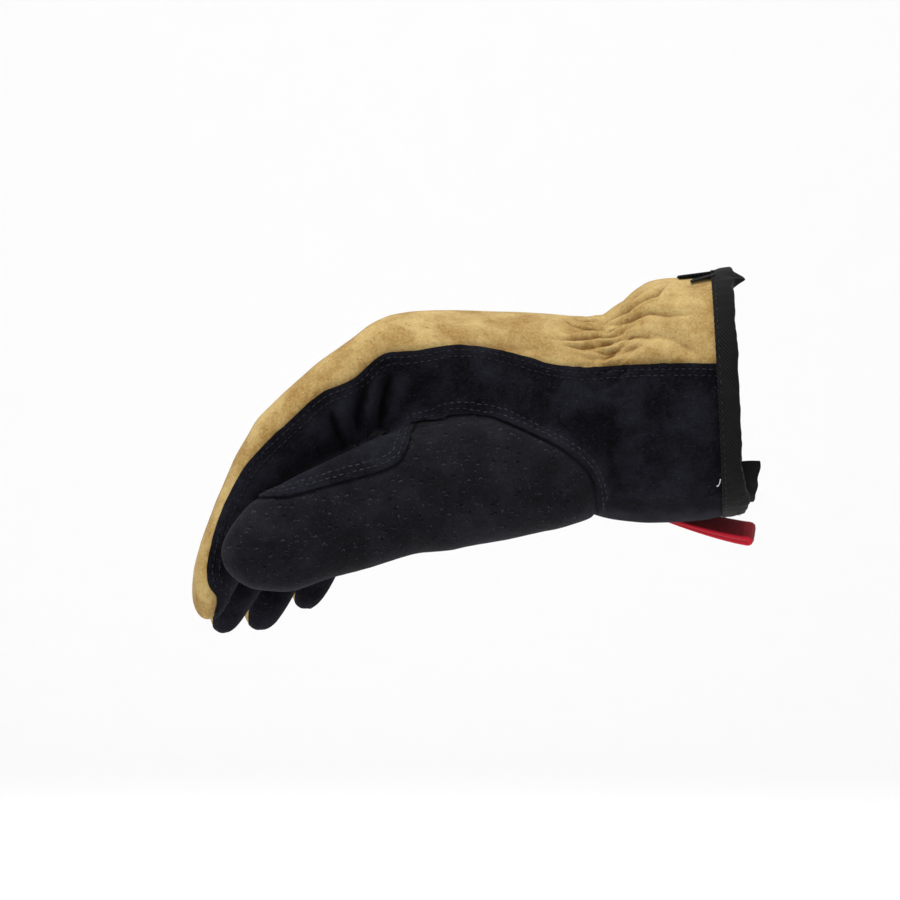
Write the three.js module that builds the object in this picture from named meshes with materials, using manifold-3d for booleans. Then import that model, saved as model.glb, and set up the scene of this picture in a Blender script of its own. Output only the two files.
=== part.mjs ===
// A right-hand leather driver glove with a shirred wrist, in the shape it has on a loosely curled hand.
// Millimetres. +X runs from the fingertips to the cuff, +Y from the thumb side to the little finger
// and +Z from the palm to the back of the hand. The origin is the middle of the wrist opening.

import * as THREE from "three";
import { mergeVertices } from "three/addons/utils/BufferGeometryUtils.js";
import Module from "manifold-3d";

const wasm = await Module();
wasm.setup();

// Driving sizes
const LEATHER = 1.5;
const GAP = 0.3;
const SLIVER = 0.06;
const WELD = 1e-3;
const BACK_SIDES = 24;
const PALM_SIDES = 11;
const FINGER_SIDES = { outside: 12, inside: 8 };
const THUMB_SIDES = { outside: 16, inside: 12 };

// The shirring across the back of the wrist
const GATHER = { x: -44, reach: 11, count: 6.5, depth: 1.5 };

// Bound cuff edge
const BINDING = { width: 6.4, cloth: 1.0, over: 1.3 };

// Woven pull loop under the cuff: y, z and roll where it is sewn on and at its closed end
const LOOP_ENDS = [[20, -41.7, 38], [15, -48.6, 28]];
const LOOP = { width: 9.6, cloth: 1.4, rise: 2.2, from: -23, to: 7, ends: LOOP_ENDS };

// Blank fabric tab sewn inside the cuff, and the folded tab on its back
const LABEL = { from: 7.6, to: -9, cloth: 0.9, inset: 4.4, start: 215, end: 252 };
const TAB = { from: -6.8, to: -18, cloth: 1.2, lift: 1.2, start: 72, end: 104 };

const MATERIALS = {
  tan_leather: { color: 0xd3a763, roughness: 0.85 },
  black_leather: { color: 0x1d1c22, roughness: 0.9 },
  binding_cloth: { color: 0x17171a, roughness: 0.8 },
  red_webbing: { color: 0xb3182b, roughness: 0.7 },
  label_cloth: { color: 0x141416, roughness: 0.6 },
};

/** Named columns for a table whose rows are plain lists. */
function table(columns, rows) {
  return rows.map((row) => Object.fromEntries(columns.map((name, i) => [name, row[i]])));
}

// Sections of the hand sleeve from the cuff to the finger roots. Each leans by pitch degrees, reaches
// up and down from (x, z), near and far from the middle line, and per millimetre of Y it trails by
// skew and drops by tilt. farSeam is the height of the back's edge on the little finger side.
const HAND = table(
  ["x", "z", "pitch", "up", "down", "near", "far", "skew", "tilt", "square", "farSeam"],
  [
    [0, 0, 3.2, 41.5, 41.5, 33.5, 33.5, 0.06, 0, 2.2, 4],
    [-12, -1.6, 2.5, 41.2, 43, 34, 34, 0.04, 0, 2.2, 5],
    [-24, -3, 1, 42.2, 42.5, 35, 35, 0.02, 0, 2.2, 6],
    [-31, -3.8, 0, 41.8, 41.8, 35, 35, 0, 0, 2.2, 7],
    [-36, -5.6, 0, 39.4, 39.4, 34.5, 34.5, 0, 0, 2.2, 8],
    [-41, -7.2, 0, 37.1, 37.1, 33.5, 33.5, 0, 0, 2.2, 9],
    [-46, -8.4, 0, 35, 35, 33, 33, 0, 0, 2.2, 10],
    [-62, -5, 0, 32, 32, 36, 37, 0.02, 0, 2.3, 9],
    [-75, -1.2, 0, 28.8, 28.8, 39, 40, 0.06, 0, 2.4, 7],
    [-89, 3, 2, 25, 25, 42, 42.5, 0.12, 0.02, 2.5, 5],
    [-100, 6.5, 5, 21.3, 21.5, 44, 44, 0.18, 0.04, 2.6, 4],
    [-108.5, 9.3, 13, 17.4, 18, 44.5, 44.5, 0.24, 0.06, 2.7, 3.5],
    [-114.5, 8.8, 24, 14, 15.2, 43, 44, 0.28, 0.06, 2.7, 3.5],
    [-120, 5.8, 34, 10, 12, 40, 42, 0.3, 0.06, 2.7, 3.5],
    [-123.4, 3.2, 39, 7, 9, 36, 39, 0.32, 0.06, 2.6, 3.5],
    [-125, 2, 41, 4.5, 5.5, 32, 35, 0.32, 0.06, 2.4, 3.5],
  ],
);

// Sections of each finger stall, from inside the hand to the tip. seam is the height of the back
// panel's edge above the stall's middle line, and front that of the fourchette's lower edge.
const STALL_COLUMNS = ["x", "y", "z", "wide", "back", "front", "seam", "low"];
const FINGERS = {
  index: table(STALL_COLUMNS, [
    [-104, -31.5, 11, 9.5, 9, 10, 3.5, -5],
    [-115, -33.2, 12, 11, 11, 15, 3.5, -5],
    [-127, -33.8, 8, 11.3, 10.8, 20.5, 3.5, -5],
    [-137.5, -34, 0.2, 11.3, 10.8, 21, 4, -5],
    [-146.3, -34.2, -8, 11.2, 11, 19, 4, -5],
    [-154.5, -34.5, -16.3, 11, 11.2, 15.5, 4.5, -5],
    [-161.2, -34.7, -26.5, 10.7, 10.6, 11.8, 4.5, -4.5],
    [-168.3, -34.9, -41.6, 10.4, 10, 10, 4, -4],
    [-173.3, -35.1, -53.5, 9.8, 9.4, 9.4, 3.5, -3.5],
    [-177.2, -35.3, -63, 9.1, 8, 7.9, 2, -2],
    [-179.4, -35.4, -71.5, 7.6, 5.8, 5.6, 1, -1],
    [-180, -35.5, -77, 4, 2, 2, 0, 0],
  ]),
  middle: table(STALL_COLUMNS, [
    [-104, -11.3, 12.5, 11, 10.5, 11, 3.5, -5],
    [-115, -11.3, 12.8, 11.2, 11.8, 11.8, 3.5, -5],
    [-127.5, -11.3, 6.8, 11.2, 11.8, 11.6, 3.5, -5],
    [-138.5, -11.5, -4, 11.2, 11.5, 11.4, 4, -5],
    [-147.5, -11.6, -16.5, 11.1, 11.2, 11.2, 4, -5],
    [-155.5, -11.8, -30, 11, 11, 11, 4.5, -4.5],
    [-162, -12, -45, 10.6, 10.4, 10.4, 4, -4],
    [-167.5, -12.2, -58, 10, 9.6, 9.6, 3.5, -3.5],
    [-172.2, -12.4, -68, 8.9, 8.3, 8.1, 2, -2],
    [-175.2, -12.5, -76.8, 7.7, 6.1, 5.8, 1, -1],
    [-176.2, -12.6, -82.4, 4.4, 2.6, 2.4, 0, 0],
  ]),
  ring: table(STALL_COLUMNS, [
    [-100, 11.3, 11, 10.8, 10.8, 10.8, 3.5, -5],
    [-110, 11.3, 9.6, 10.9, 11.4, 11.4, 3.5, -5],
    [-122, 11.4, 1.6, 11, 11.3, 11.3, 3.5, -5],
    [-132, 11.6, -9.5, 11, 11.1, 11.1, 4, -5],
    [-140, 11.8, -22, 10.9, 10.9, 10.9, 4, -5],
    [-146.5, 12, -36, 10.7, 10.6, 10.6, 4.5, -4.5],
    [-152.8, 12.3, -50, 10.3, 10.1, 10.1, 4, -4],
    [-158.2, 12.6, -61.5, 9.7, 9.3, 9.3, 3, -3],
    [-162, 12.8, -71, 8.7, 8, 8, 2, -2],
    [-164.3, 13, -77.8, 7.4, 6.3, 6.3, 1, -1],
    [-165.3, 13.1, -82.4, 4.4, 3.2, 3.2, 0, 0],
  ]),
  little: table(STALL_COLUMNS, [
    [-93, 33.4, 8, 9, 9, 9, 3, -4.5],
    [-102, 33.6, 5.4, 9.5, 10, 10, 3, -4.5],
    [-112.5, 34, -3, 9.6, 9.8, 9.8, 3, -4.5],
    [-121.5, 34.6, -14.5, 9.6, 9.6, 9.6, 3.5, -4.5],
    [-129.3, 35.2, -27.5, 9.4, 9.4, 9.4, 3.5, -4.5],
    [-135.8, 35.9, -41, 9.1, 9, 9, 3.5, -4],
    [-142, 36.5, -54, 8.6, 8.5, 8.5, 2.5, -3],
    [-146.8, 37, -64.5, 7.8, 7.4, 7.4, 1.5, -1.5],
    [-149.2, 37.3, -71.5, 6.6, 5.8, 5.8, 1, -1],
    [-150.2, 37.4, -76, 3.8, 2.8, 2.8, 0, 0],
  ]),
};

// Sections of the thumb sleeve: wide is its half thickness from side to side
const THUMB = table(
  ["x", "y", "z", "wide", "back", "front"],
  [
    [-48, -20, -31, 12, 12, 11.5],
    [-61, -26, -30, 15.5, 16.7, 16.7],
    [-81.4, -33.4, -29.5, 16.8, 21.2, 21.2],
    [-101.7, -40.6, -31.9, 16, 21.5, 22.3],
    [-115, -45.4, -33.8, 14.8, 20.3, 21.7],
    [-131.6, -51, -40.4, 13.2, 18.6, 20.2],
    [-144.3, -55, -45, 12.4, 17.2, 18.8],
    [-156.1, -58.2, -50.8, 11.8, 16.4, 17.4],
    [-165.5, -60, -53.2, 9.8, 13, 13.2],
    [-171, -60.8, -52.6, 6.2, 8, 8.2],
    [-173.6, -61.2, -52.2, 2, 2.6, 2.6],
  ],
);

// The back panel's edge on the thumb side, from the cuff to the corner near the index fingertip
const NEAR_SEAM = table(
  ["x", "z"],
  [
    [8, 8.6],
    [-17, 9.2],
    [-36, 8.9],
    [-50, 7.7],
    [-63, 8.7],
    [-76, 12.2],
    [-88, 14.7],
    [-98, 15.2],
    [-110, 13.1],
    [-118, 13.1],
    [-124, 10.3],
    [-128.4, 5.4],
    [-134.5, 1.9],
    [-141, -0.6],
    [-150, -8.6],
    [-163, -20.8],
    [-169.3, -29.7],
    [-175, -41.2],
    [-178.4, -53],
    [-179.6, -62.5],
    [-178.2, -67.4],
    [-175.4, -68.4],
  ],
);
const TIP_WRAP_END = { x: -178.6, z: -79 };
const INDEX_EDGE = -22.8;

// The edge of the thumb's outer piece: up over the ball of the thumb, then along its top to the tip
const THUMB_SEAM = table(
  ["x", "z"],
  [
    [-48.6, -60],
    [-48.8, -42],
    [-49.6, -33.8],
    [-52, -27.6],
    [-59, -21.2],
    [-68, -16.3],
    [-77, -12],
    [-86, -8.9],
    [-95, -7.6],
    [-103.5, -8.9],
    [-109, -11.2],
    [-111.3, -15.5],
    [-113, -21],
    [-117.5, -25.8],
    [-131, -29.6],
    [-149, -34.9],
    [-156, -36],
    [-164, -35.4],
    [-172, -33],
  ],
);
const THUMB_FACE = { atX: -61, y: -22, slope: 0.31 };
const STRIP_EDGE = 7;

/** The plane of a hand section: its middle and its directions across the hand and up its back. */
function handPlane(row) {
  const lean = THREE.MathUtils.degToRad(row.pitch);
  return {
    middle: new THREE.Vector3(row.x, 0, row.z),
    across: new THREE.Vector3(row.skew, 1, -row.tilt),
    up: new THREE.Vector3(-Math.sin(lean), 0, Math.cos(lean)),
    row,
  };
}

/** The planes of a finger or thumb: square to the line through their middles. */
function stallPlanes(rows) {
  const middles = rows.map((row) => new THREE.Vector3(row.x, row.y, row.z));
  return rows.map((row, i) => {
    const next = middles[Math.min(i + 1, rows.length - 1)];
    const along = next.clone().sub(middles[Math.max(i - 1, 0)]).normalize();
    const across = new THREE.Vector3(0, 1, 0).projectOnPlane(along).normalize();
    const up = new THREE.Vector3().crossVectors(across, along);
    const sizes = { near: row.wide, far: row.wide, up: row.back, down: row.front, square: 2.3 };
    return { middle: middles[i], across, up, row: { ...row, ...sizes } };
  });
}

/** A point of a plane, u across and v up from its middle. */
function onPlane({ middle, across, up }, u, v) {
  return middle.clone().addScaledVector(across, u).addScaledVector(up, v);
}

/** How far the gathers draw the back of the wrist in: pleated outside, even on the inside. */
function gatherDepth(x, angle, inset) {
  const window = Math.exp(-(((x - GATHER.x) / GATHER.reach) ** 2));
  const share = THREE.MathUtils.smoothstep(Math.sin(angle), 0.42, 0.7);
  const fold = inset > 0 ? 1 : 0.5 - 0.5 * Math.cos(angle * GATHER.count * 2);
  return GATHER.depth * window * share * fold;
}

/** The point of a section at an angle, inset by a distance from the outside of the leather. */
function rimPoint(plane, angle, inset, gathered) {
  const { near, far, up, down, square } = plane.row;
  const [c, s] = [Math.cos(angle), Math.sin(angle)];
  const drawn = gathered ? gatherDepth(plane.middle.x, angle, inset) : 0;
  const side = Math.max((c > 0 ? far : near) - inset - drawn, 0.4);
  const height = Math.max((s > 0 ? up : down) - inset - drawn, 0.4);
  const u = side * Math.sign(c) * Math.abs(c) ** (2 / square);
  const v = height * Math.sign(s) * Math.abs(s) ** (2 / square);
  return onPlane(plane, u, v);
}

/** Angles round a hand section, closer together over the gathered back. */
function handAngles() {
  const back = Array.from({ length: BACK_SIDES }, (_, i) => (i / BACK_SIDES) * Math.PI);
  const palm = Array.from({ length: PALM_SIDES }, (_, i) => Math.PI * (1 + i / PALM_SIDES));
  return [...back, ...palm];
}

/** Angles spread evenly round a section. */
function evenAngles(sides) {
  return Array.from({ length: sides }, (_, i) => (i / sides) * 2 * Math.PI);
}

/** A closed solid through rings of points, each ring turning from across to up. */
function loft(rings) {
  const sides = rings[0].length;
  const faces = [];
  for (let i = 0; i + 1 < rings.length; i++) {
    for (let j = 0; j < sides; j++) {
      const [a, b] = [i * sides + j, i * sides + ((j + 1) % sides)];
      faces.push(a, a + sides, b, b, a + sides, b + sides);
    }
  }
  const end = (rings.length - 1) * sides;
  for (let j = 1; j + 1 < sides; j++) {
    faces.push(0, j, j + 1, end, end + j + 1, end + j);
  }
  const geometry = new THREE.BufferGeometry().setFromPoints(rings.flat());
  return solidOf(geometry.setIndex(faces));
}

/** The solid that a closed three.js geometry bounds. */
function solidOf(geometry) {
  const bare = new THREE.BufferGeometry();
  bare.setAttribute("position", geometry.getAttribute("position"));
  bare.setIndex(geometry.index);
  const merged = mergeVertices(bare, WELD);
  const vertProperties = new Float32Array(merged.getAttribute("position").array);
  const triVerts = new Uint32Array(merged.index.array);
  return new wasm.Manifold(new wasm.Mesh({ numProp: 3, vertProperties, triVerts }));
}

/** The three.js geometry of a solid. */
function geometryOf(solid) {
  const { vertProperties, triVerts } = solid.getMesh();
  const geometry = new THREE.BufferGeometry();
  geometry.setAttribute("position", new THREE.BufferAttribute(vertProperties, 3));
  return geometry.setIndex(new THREE.BufferAttribute(triVerts, 1));
}

/** The largest body of a solid, without the crumbs and slivers that a cut can leave. */
function mainBody(solid) {
  const bodies = solidOf(geometryOf(solid.simplify(SLIVER))).decompose();
  return bodies.reduce((best, body) => (body.volume() > best.volume() ? body : best));
}

/** The union of several solids. */
function join(solids) {
  return solids.reduce((sum, solid) => sum.add(solid));
}

const handPlanes = HAND.map(handPlane);
const fingerPlanes = Object.fromEntries(
  Object.entries(FINGERS).map(([name, rows]) => [name, stallPlanes(rows)]),
);
const thumbPlanes = stallPlanes(THUMB);

/** The hand's form, inset from the outside and carried on past the cuff. */
function handForm(inset, past) {
  const angles = handAngles();
  const ring = (plane) => angles.map((angle) => rimPoint(plane, angle, inset, true));
  const closing = inset > 0 ? handPlanes.slice(0, -1) : handPlanes;
  const rings = closing.map(ring);
  if (past > 0) {
    const shift = new THREE.Vector3(past, 0, 0);
    rings.unshift(rings[0].map((point) => point.clone().add(shift)));
  }
  return loft(rings);
}

/** A finger's or the thumb's form, inset from the outside, its tip drawn back as much. */
function stallForm(planes, sides, inset) {
  const angles = evenAngles(sides);
  const tip = planes.at(-1);
  const back = tip.middle.clone().sub(planes.at(-2).middle).normalize().multiplyScalar(-inset);
  const moved = { ...tip, middle: tip.middle.clone().add(back) };
  const used = [...planes.slice(0, -1), moved];
  return loft(used.map((plane) => angles.map((angle) => rimPoint(plane, angle, inset, false))));
}

/** The glove's whole form, inset from the outside. */
function gloveForm(inset, past) {
  const side = inset > 0 ? "inside" : "outside";
  const stall = (planes) => stallForm(planes, FINGER_SIDES[side], inset);
  const fingers = Object.values(fingerPlanes).map(stall);
  return join([handForm(inset, past), stallForm(thumbPlanes, THUMB_SIDES[side], inset), ...fingers]);
}

/** A bent bar along planes, between two positions across and two heights that may vary by plane. */
function bar(planes, across, heights) {
  return loft(
    planes.map((plane) => {
      const [left, right] = across(plane.row);
      const [low, high] = heights(plane.row);
      const corners = [[right, low], [right, high], [left, high], [left, low]];
      return corners.map(([u, v]) => onPlane(plane, u, v));
    }),
  );
}

/** A closed outline in x and z, carried from one Y to another. */
function prism(outline, from, to) {
  const shape = new THREE.Shape(outline.map(({ x, z }) => new THREE.Vector2(x, z)));
  const geometry = new THREE.ExtrudeGeometry(shape, { depth: to - from, bevelEnabled: false });
  return solidOf(geometry.rotateX(Math.PI / 2).translate(0, to, 0));
}

/** A smooth line through the rows of a seam's table, moved sideways by a distance. */
function seamLine(rows, aside) {
  const curve = new THREE.SplineCurve(rows.map(({ x, z }) => new THREE.Vector2(x, z)));
  const steps = rows.length * 2;
  return Array.from({ length: steps + 1 }, (_, i) => {
    const point = curve.getPoint(i / steps);
    const way = curve.getTangent(i / steps);
    return { x: point.x - way.y * aside, z: point.y + way.x * aside };
  });
}

/** The planes of a stall with one more past its tip. */
function pastTip(planes, distance) {
  const [before, tip] = planes.slice(-2);
  const along = tip.middle.clone().sub(before.middle).normalize();
  return [...planes, { ...tip, middle: tip.middle.clone().addScaledVector(along, distance) }];
}

/** All that lies above the back panel's edges, which are lowered by a distance. */
function backRegion(lowered) {
  const seam = seamLine(NEAR_SEAM, lowered);
  const end = { x: TIP_WRAP_END.x + lowered, z: TIP_WRAP_END.z };
  const rest = [{ x: end.x, z: -95 }, { x: -205, z: -95 }, { x: -205, z: 65 }, { x: 8, z: 65 }];
  const near = prism([...seam, end, ...rest], -75, INDEX_EDGE + lowered);
  const hand = bar(
    [{ ...handPlanes[0], middle: new THREE.Vector3(8, 0, 0) }, ...pastTip(handPlanes, 0.5 + lowered)],
    (row) => [INDEX_EDGE - lowered, row.far + 6],
    (row) => [row.farSeam - lowered, row.up + 8],
  );
  const stalls = ["middle", "ring", "little"].map((name) =>
    bar(
      pastTip(fingerPlanes[name], 5),
      (row) => [-row.wide - 0.4 - lowered, row.wide + lowered + (name === "little" ? 3 : 0.4)],
      (row) => [row.seam - lowered, row.back + 6],
    ),
  );
  return join([near, hand, ...stalls]);
}

/** All that the thumb's outer piece covers, its edge moved in or out by a distance. */
function thumbRegion(grown) {
  const seam = seamLine(THUMB_SEAM, -grown);
  const outline = [...seam, { x: -190, z: -33 }, { x: -190, z: -90 }, { x: -48.6 + grown, z: -90 }];
  const block = prism(outline.reverse(), -95, 0);
  const face = ({ x }) => THUMB_FACE.y + (x - THUMB_FACE.atX) * THUMB_FACE.slope + grown;
  const corners = [{ x: -200 }, { x: -30 }];
  const side = new THREE.Shape([
    ...corners.map((corner) => new THREE.Vector2(corner.x, face(corner))),
    new THREE.Vector2(-30, -95),
    new THREE.Vector2(-200, -95),
  ]);
  const slab = new THREE.ExtrudeGeometry(side, { depth: 110, bevelEnabled: false });
  return block.intersect(solidOf(slab.translate(0, 0, -95)));
}

/** All that the strip along the top of the thumb covers, grown all round by a distance. */
function thumbStripRegion(grown) {
  const planes = thumbPlanes.slice(3, -2);
  return bar(
    grown > 0 ? pastTip(planes, grown) : planes,
    (row) => [-row.wide - 4, STRIP_EDGE + grown],
    (row) => [-grown, row.back + 6],
  );
}

/** The side strips between two neighbouring fingers and their web, longer and lower by grown. */
function fourchetteRegion(left, right, grown) {
  const pairs = fingerPlanes[left].map((plane, i) => [plane, fingerPlanes[right][i]]);
  const used = pairs.filter((pair) => pair[1]).slice(0, -2);
  const rings = used.map(([near, far]) => [
    onPlane(far, -4, far.row.low - grown),
    onPlane(far, -4, far.row.seam),
    onPlane(near, 4, near.row.seam),
    onPlane(near, 4, near.row.low - grown),
  ]);
  const drawnOut = (ring, next) =>
    ring.map((point, i) => point.clone().add(point.clone().sub(next[i]).setLength(grown)));
  const [first, last] = [drawnOut(rings[0], rings[1]), drawnOut(rings.at(-1), rings.at(-2))];
  return loft(grown > 0 ? [first, ...rings, last] : rings);
}

const shell = gloveForm(0, 0).subtract(gloveForm(LEATHER, 4));
const back = mainBody(shell.intersect(backRegion(0)));
const thumb = mainBody(shell.intersect(thumbRegion(0)));
const black = shell.subtract(backRegion(GAP)).subtract(thumbRegion(GAP));

const FINGER_PAIRS = [["index", "middle"], ["middle", "ring"], ["ring", "little"]];
const fourchettes = FINGER_PAIRS.map(([left, right]) => ({
  name: `fourchette_${left}_${right}`,
  solid: mainBody(black.intersect(fourchetteRegion(left, right, 0))),
}));
const thumbStrip = mainBody(black.intersect(thumbStripRegion(0)));
const webs = join(FINGER_PAIRS.map(([left, right]) => fourchetteRegion(left, right, GAP)));
const palm = mainBody(black.subtract(thumbStripRegion(GAP)).subtract(webs));

/** The cuff's section at an x between its first two rows or just past them. */
function cuffPlane(x) {
  const share = x / HAND[1].x;
  const blend = (name) => THREE.MathUtils.lerp(HAND[0][name], HAND[1][name], share);
  return handPlane(Object.fromEntries(Object.keys(HAND[0]).map((name) => [name, blend(name)])));
}

/** A closed solid from sections that follow one another round a ring. */
function sweepRound(sections) {
  const sides = sections[0].length;
  const count = sections.length;
  const faces = [];
  for (let i = 0; i < count; i++) {
    for (let j = 0; j < sides; j++) {
      const [a, b] = [i * sides + j, i * sides + ((j + 1) % sides)];
      const [c, d] = [a, b].map((k) => (k + sides) % (count * sides));
      faces.push(a, c, b, b, c, d);
    }
  }
  return solidOf(new THREE.BufferGeometry().setFromPoints(sections.flat()).setIndex(faces));
}

/** The folded cloth that wraps the cuff's edge, outside and inside. */
function cuffBinding() {
  const { width, cloth, over } = BINDING;
  const [outside, inside] = [-GAP, LEATHER + GAP];
  const profile = [
    [-width, outside],
    [-width, outside - cloth],
    [over, outside - cloth],
    [over, inside + cloth],
    [-width, inside + cloth],
    [-width, inside],
    [GAP, inside],
    [GAP, outside],
  ];
  const corner = (angle) => ([x, inset]) => rimPoint(cuffPlane(x), angle, inset, false);
  return sweepRound(handAngles().map((angle) => profile.map(corner(angle))));
}

/** A plate that follows the cuff between two angles, lifted off it at its far end. */
function cuffPlate({ from, to, cloth, start, end }, inset, lift) {
  const steps = 6;
  const corners = [
    [from, inset - cloth],
    [from, inset],
    [to, inset - lift],
    [to, inset - lift - cloth],
  ];
  const ring = (i) => {
    const angle = THREE.MathUtils.degToRad(THREE.MathUtils.lerp(start, end, i / steps));
    return corners.map(([x, depth]) => rimPoint(cuffPlane(x), angle, depth, false));
  };
  return loft(Array.from({ length: steps + 1 }, (_, i) => ring(i)));
}

/** The doubled webbing under the cuff, its face rolled towards the thumb side. */
function pullLoop() {
  const { width, cloth, rise, from, to, ends } = LOOP;
  const [half, bend] = [width / 2, rise / 2];
  const run = [0, 0.2, 0.4, 0.6, 0.8, 1].map((t) => ({
    x: THREE.MathUtils.lerp(from, to - bend, t),
    z: cloth / 2 + 0.05 + bend * THREE.MathUtils.smoothstep(t, 0.05, 0.9),
  }));
  const radius = run.at(-1).z;
  const turn = [60, 30, 0, -30, -60].map((degrees) => {
    const angle = THREE.MathUtils.degToRad(degrees);
    return { x: run.at(-1).x + radius * Math.cos(angle), z: radius * Math.sin(angle) };
  });
  const under = run.map(({ x, z }) => ({ x, z: -z })).reverse();
  const sizes = { y: 0, wide: half, back: cloth / 2, front: cloth / 2 };
  const planes = stallPlanes([...run, ...turn, ...under].map((row) => ({ ...row, ...sizes })));
  const place = (point) => {
    const t = THREE.MathUtils.clamp((point.x - from) / (to - from), 0, 1);
    const share = 1 - (1 - t) ** 1.4;
    const [y, z, roll] = ends[0].map((value, i) => THREE.MathUtils.lerp(value, ends[1][i], share));
    point.applyAxisAngle(new THREE.Vector3(1, 0, 0), THREE.MathUtils.degToRad(roll));
    return point.add(new THREE.Vector3(0, y, z));
  };
  return loft(
    planes.map((plane) => {
      const { up, down } = plane.row;
      const corners = [[half, -down], [half, up], [-half, up], [-half, -down]];
      return corners.map(([u, v]) => place(onPlane(plane, u, v)));
    }),
  );
}

/** A named mesh of one sub-part. */
function piece(name, solid, material) {
  const geometry = geometryOf(solid);
  geometry.computeVertexNormals();
  const finish = new THREE.MeshStandardMaterial({ ...MATERIALS[material], metalness: 0 });
  const mesh = new THREE.Mesh(geometry, finish);
  mesh.name = name;
  return mesh;
}

const glove = new THREE.Group();
glove.name = "driver_glove";
glove.add(
  piece("back_panel", back, "tan_leather"),
  piece("palm_panel", palm, "black_leather"),
  piece("thumb_outer", thumb, "black_leather"),
  piece("thumb_strip", thumbStrip, "black_leather"),
  ...fourchettes.map(({ name, solid }) => piece(name, solid, "black_leather")),
  piece("cuff_binding", cuffBinding(), "binding_cloth"),
  piece("cuff_tab", cuffPlate(TAB, -GAP, TAB.lift), "binding_cloth"),
  piece("inner_label", cuffPlate(LABEL, LABEL.inset, 0), "label_cloth"),
  piece("pull_loop", pullLoop(), "red_webbing"),
);

export default glove;
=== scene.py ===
import logging
import math
import random
from dataclasses import dataclass, field
from enum import Enum

import bmesh
import bpy
import numpy as np
from mathutils import Matrix, Vector, noise
from mathutils.bvhtree import BVHTree


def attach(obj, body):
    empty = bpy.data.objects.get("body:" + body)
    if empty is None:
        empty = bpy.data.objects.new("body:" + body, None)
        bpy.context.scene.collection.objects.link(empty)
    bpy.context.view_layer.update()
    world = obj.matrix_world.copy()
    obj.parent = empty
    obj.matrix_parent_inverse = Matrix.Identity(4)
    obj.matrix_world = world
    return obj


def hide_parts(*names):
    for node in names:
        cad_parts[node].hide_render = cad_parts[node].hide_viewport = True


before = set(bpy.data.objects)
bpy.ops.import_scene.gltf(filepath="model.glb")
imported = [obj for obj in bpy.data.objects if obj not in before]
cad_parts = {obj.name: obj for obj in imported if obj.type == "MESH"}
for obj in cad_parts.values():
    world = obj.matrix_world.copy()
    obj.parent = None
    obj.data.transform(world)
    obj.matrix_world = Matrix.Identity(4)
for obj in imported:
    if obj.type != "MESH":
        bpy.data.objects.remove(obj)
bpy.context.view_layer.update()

MM = 0.001
LOG = logging.getLogger("driver_glove")

# The camera, found from the photograph's scale and perspective
CAMERA_PLACE = Vector((-98.3, -1400.0, -20.0)) * MM
CAMERA_LENS = 162.3

# What the lamps point at
GLOVE_MIDDLE = Vector((-90.0, 0.0, -20.0)) * MM

Rows = tuple[tuple[float, ...], ...]
Line = list[tuple[Vector, Vector]]


class Leather(Enum):
    """The leather pieces of the CAD model, by the names of their nodes."""

    BACK = "back_panel"
    PALM = "palm_panel"
    THUMB = "thumb_outer"
    STRIP = "thumb_strip"
    WEB_INDEX = "fourchette_index_middle"
    WEB_MIDDLE = "fourchette_middle_ring"
    WEB_RING = "fourchette_ring_little"


class Face(Enum):
    """The side of the glove that a fold lies on."""

    BACK = "back"
    SIDE = "side"


class Stroke(Enum):
    """How a fold changes the surface."""

    VALLEY = -1.0
    RIDGE = 1.0


# Sizes of the hand and cuff, in millimetres

# The mean radius over the back of the hand, which turns an angle into a length of arc
HAND_RADIUS = 34.0

# Middle line and half sizes of the sleeve: x, z, height above the middle, half width
SLEEVE: Rows = (
    (-125, 2, 6, 40),
    (-108.5, 9.3, 17.4, 44.5),
    (-89, 3, 25, 42),
    (-75, -1.2, 28.8, 39),
    (-62, -5, 32, 36),
    (-46, -8.4, 35, 33),
    (-41, -7.2, 37.1, 33.5),
    (-36, -5.6, 39.4, 34.5),
    (-31, -3.8, 41.8, 35),
    (-24, -3, 42.2, 35),
    (-12, -1.6, 41.2, 34),
    (0, 0, 41.5, 33.5),
)

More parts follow.
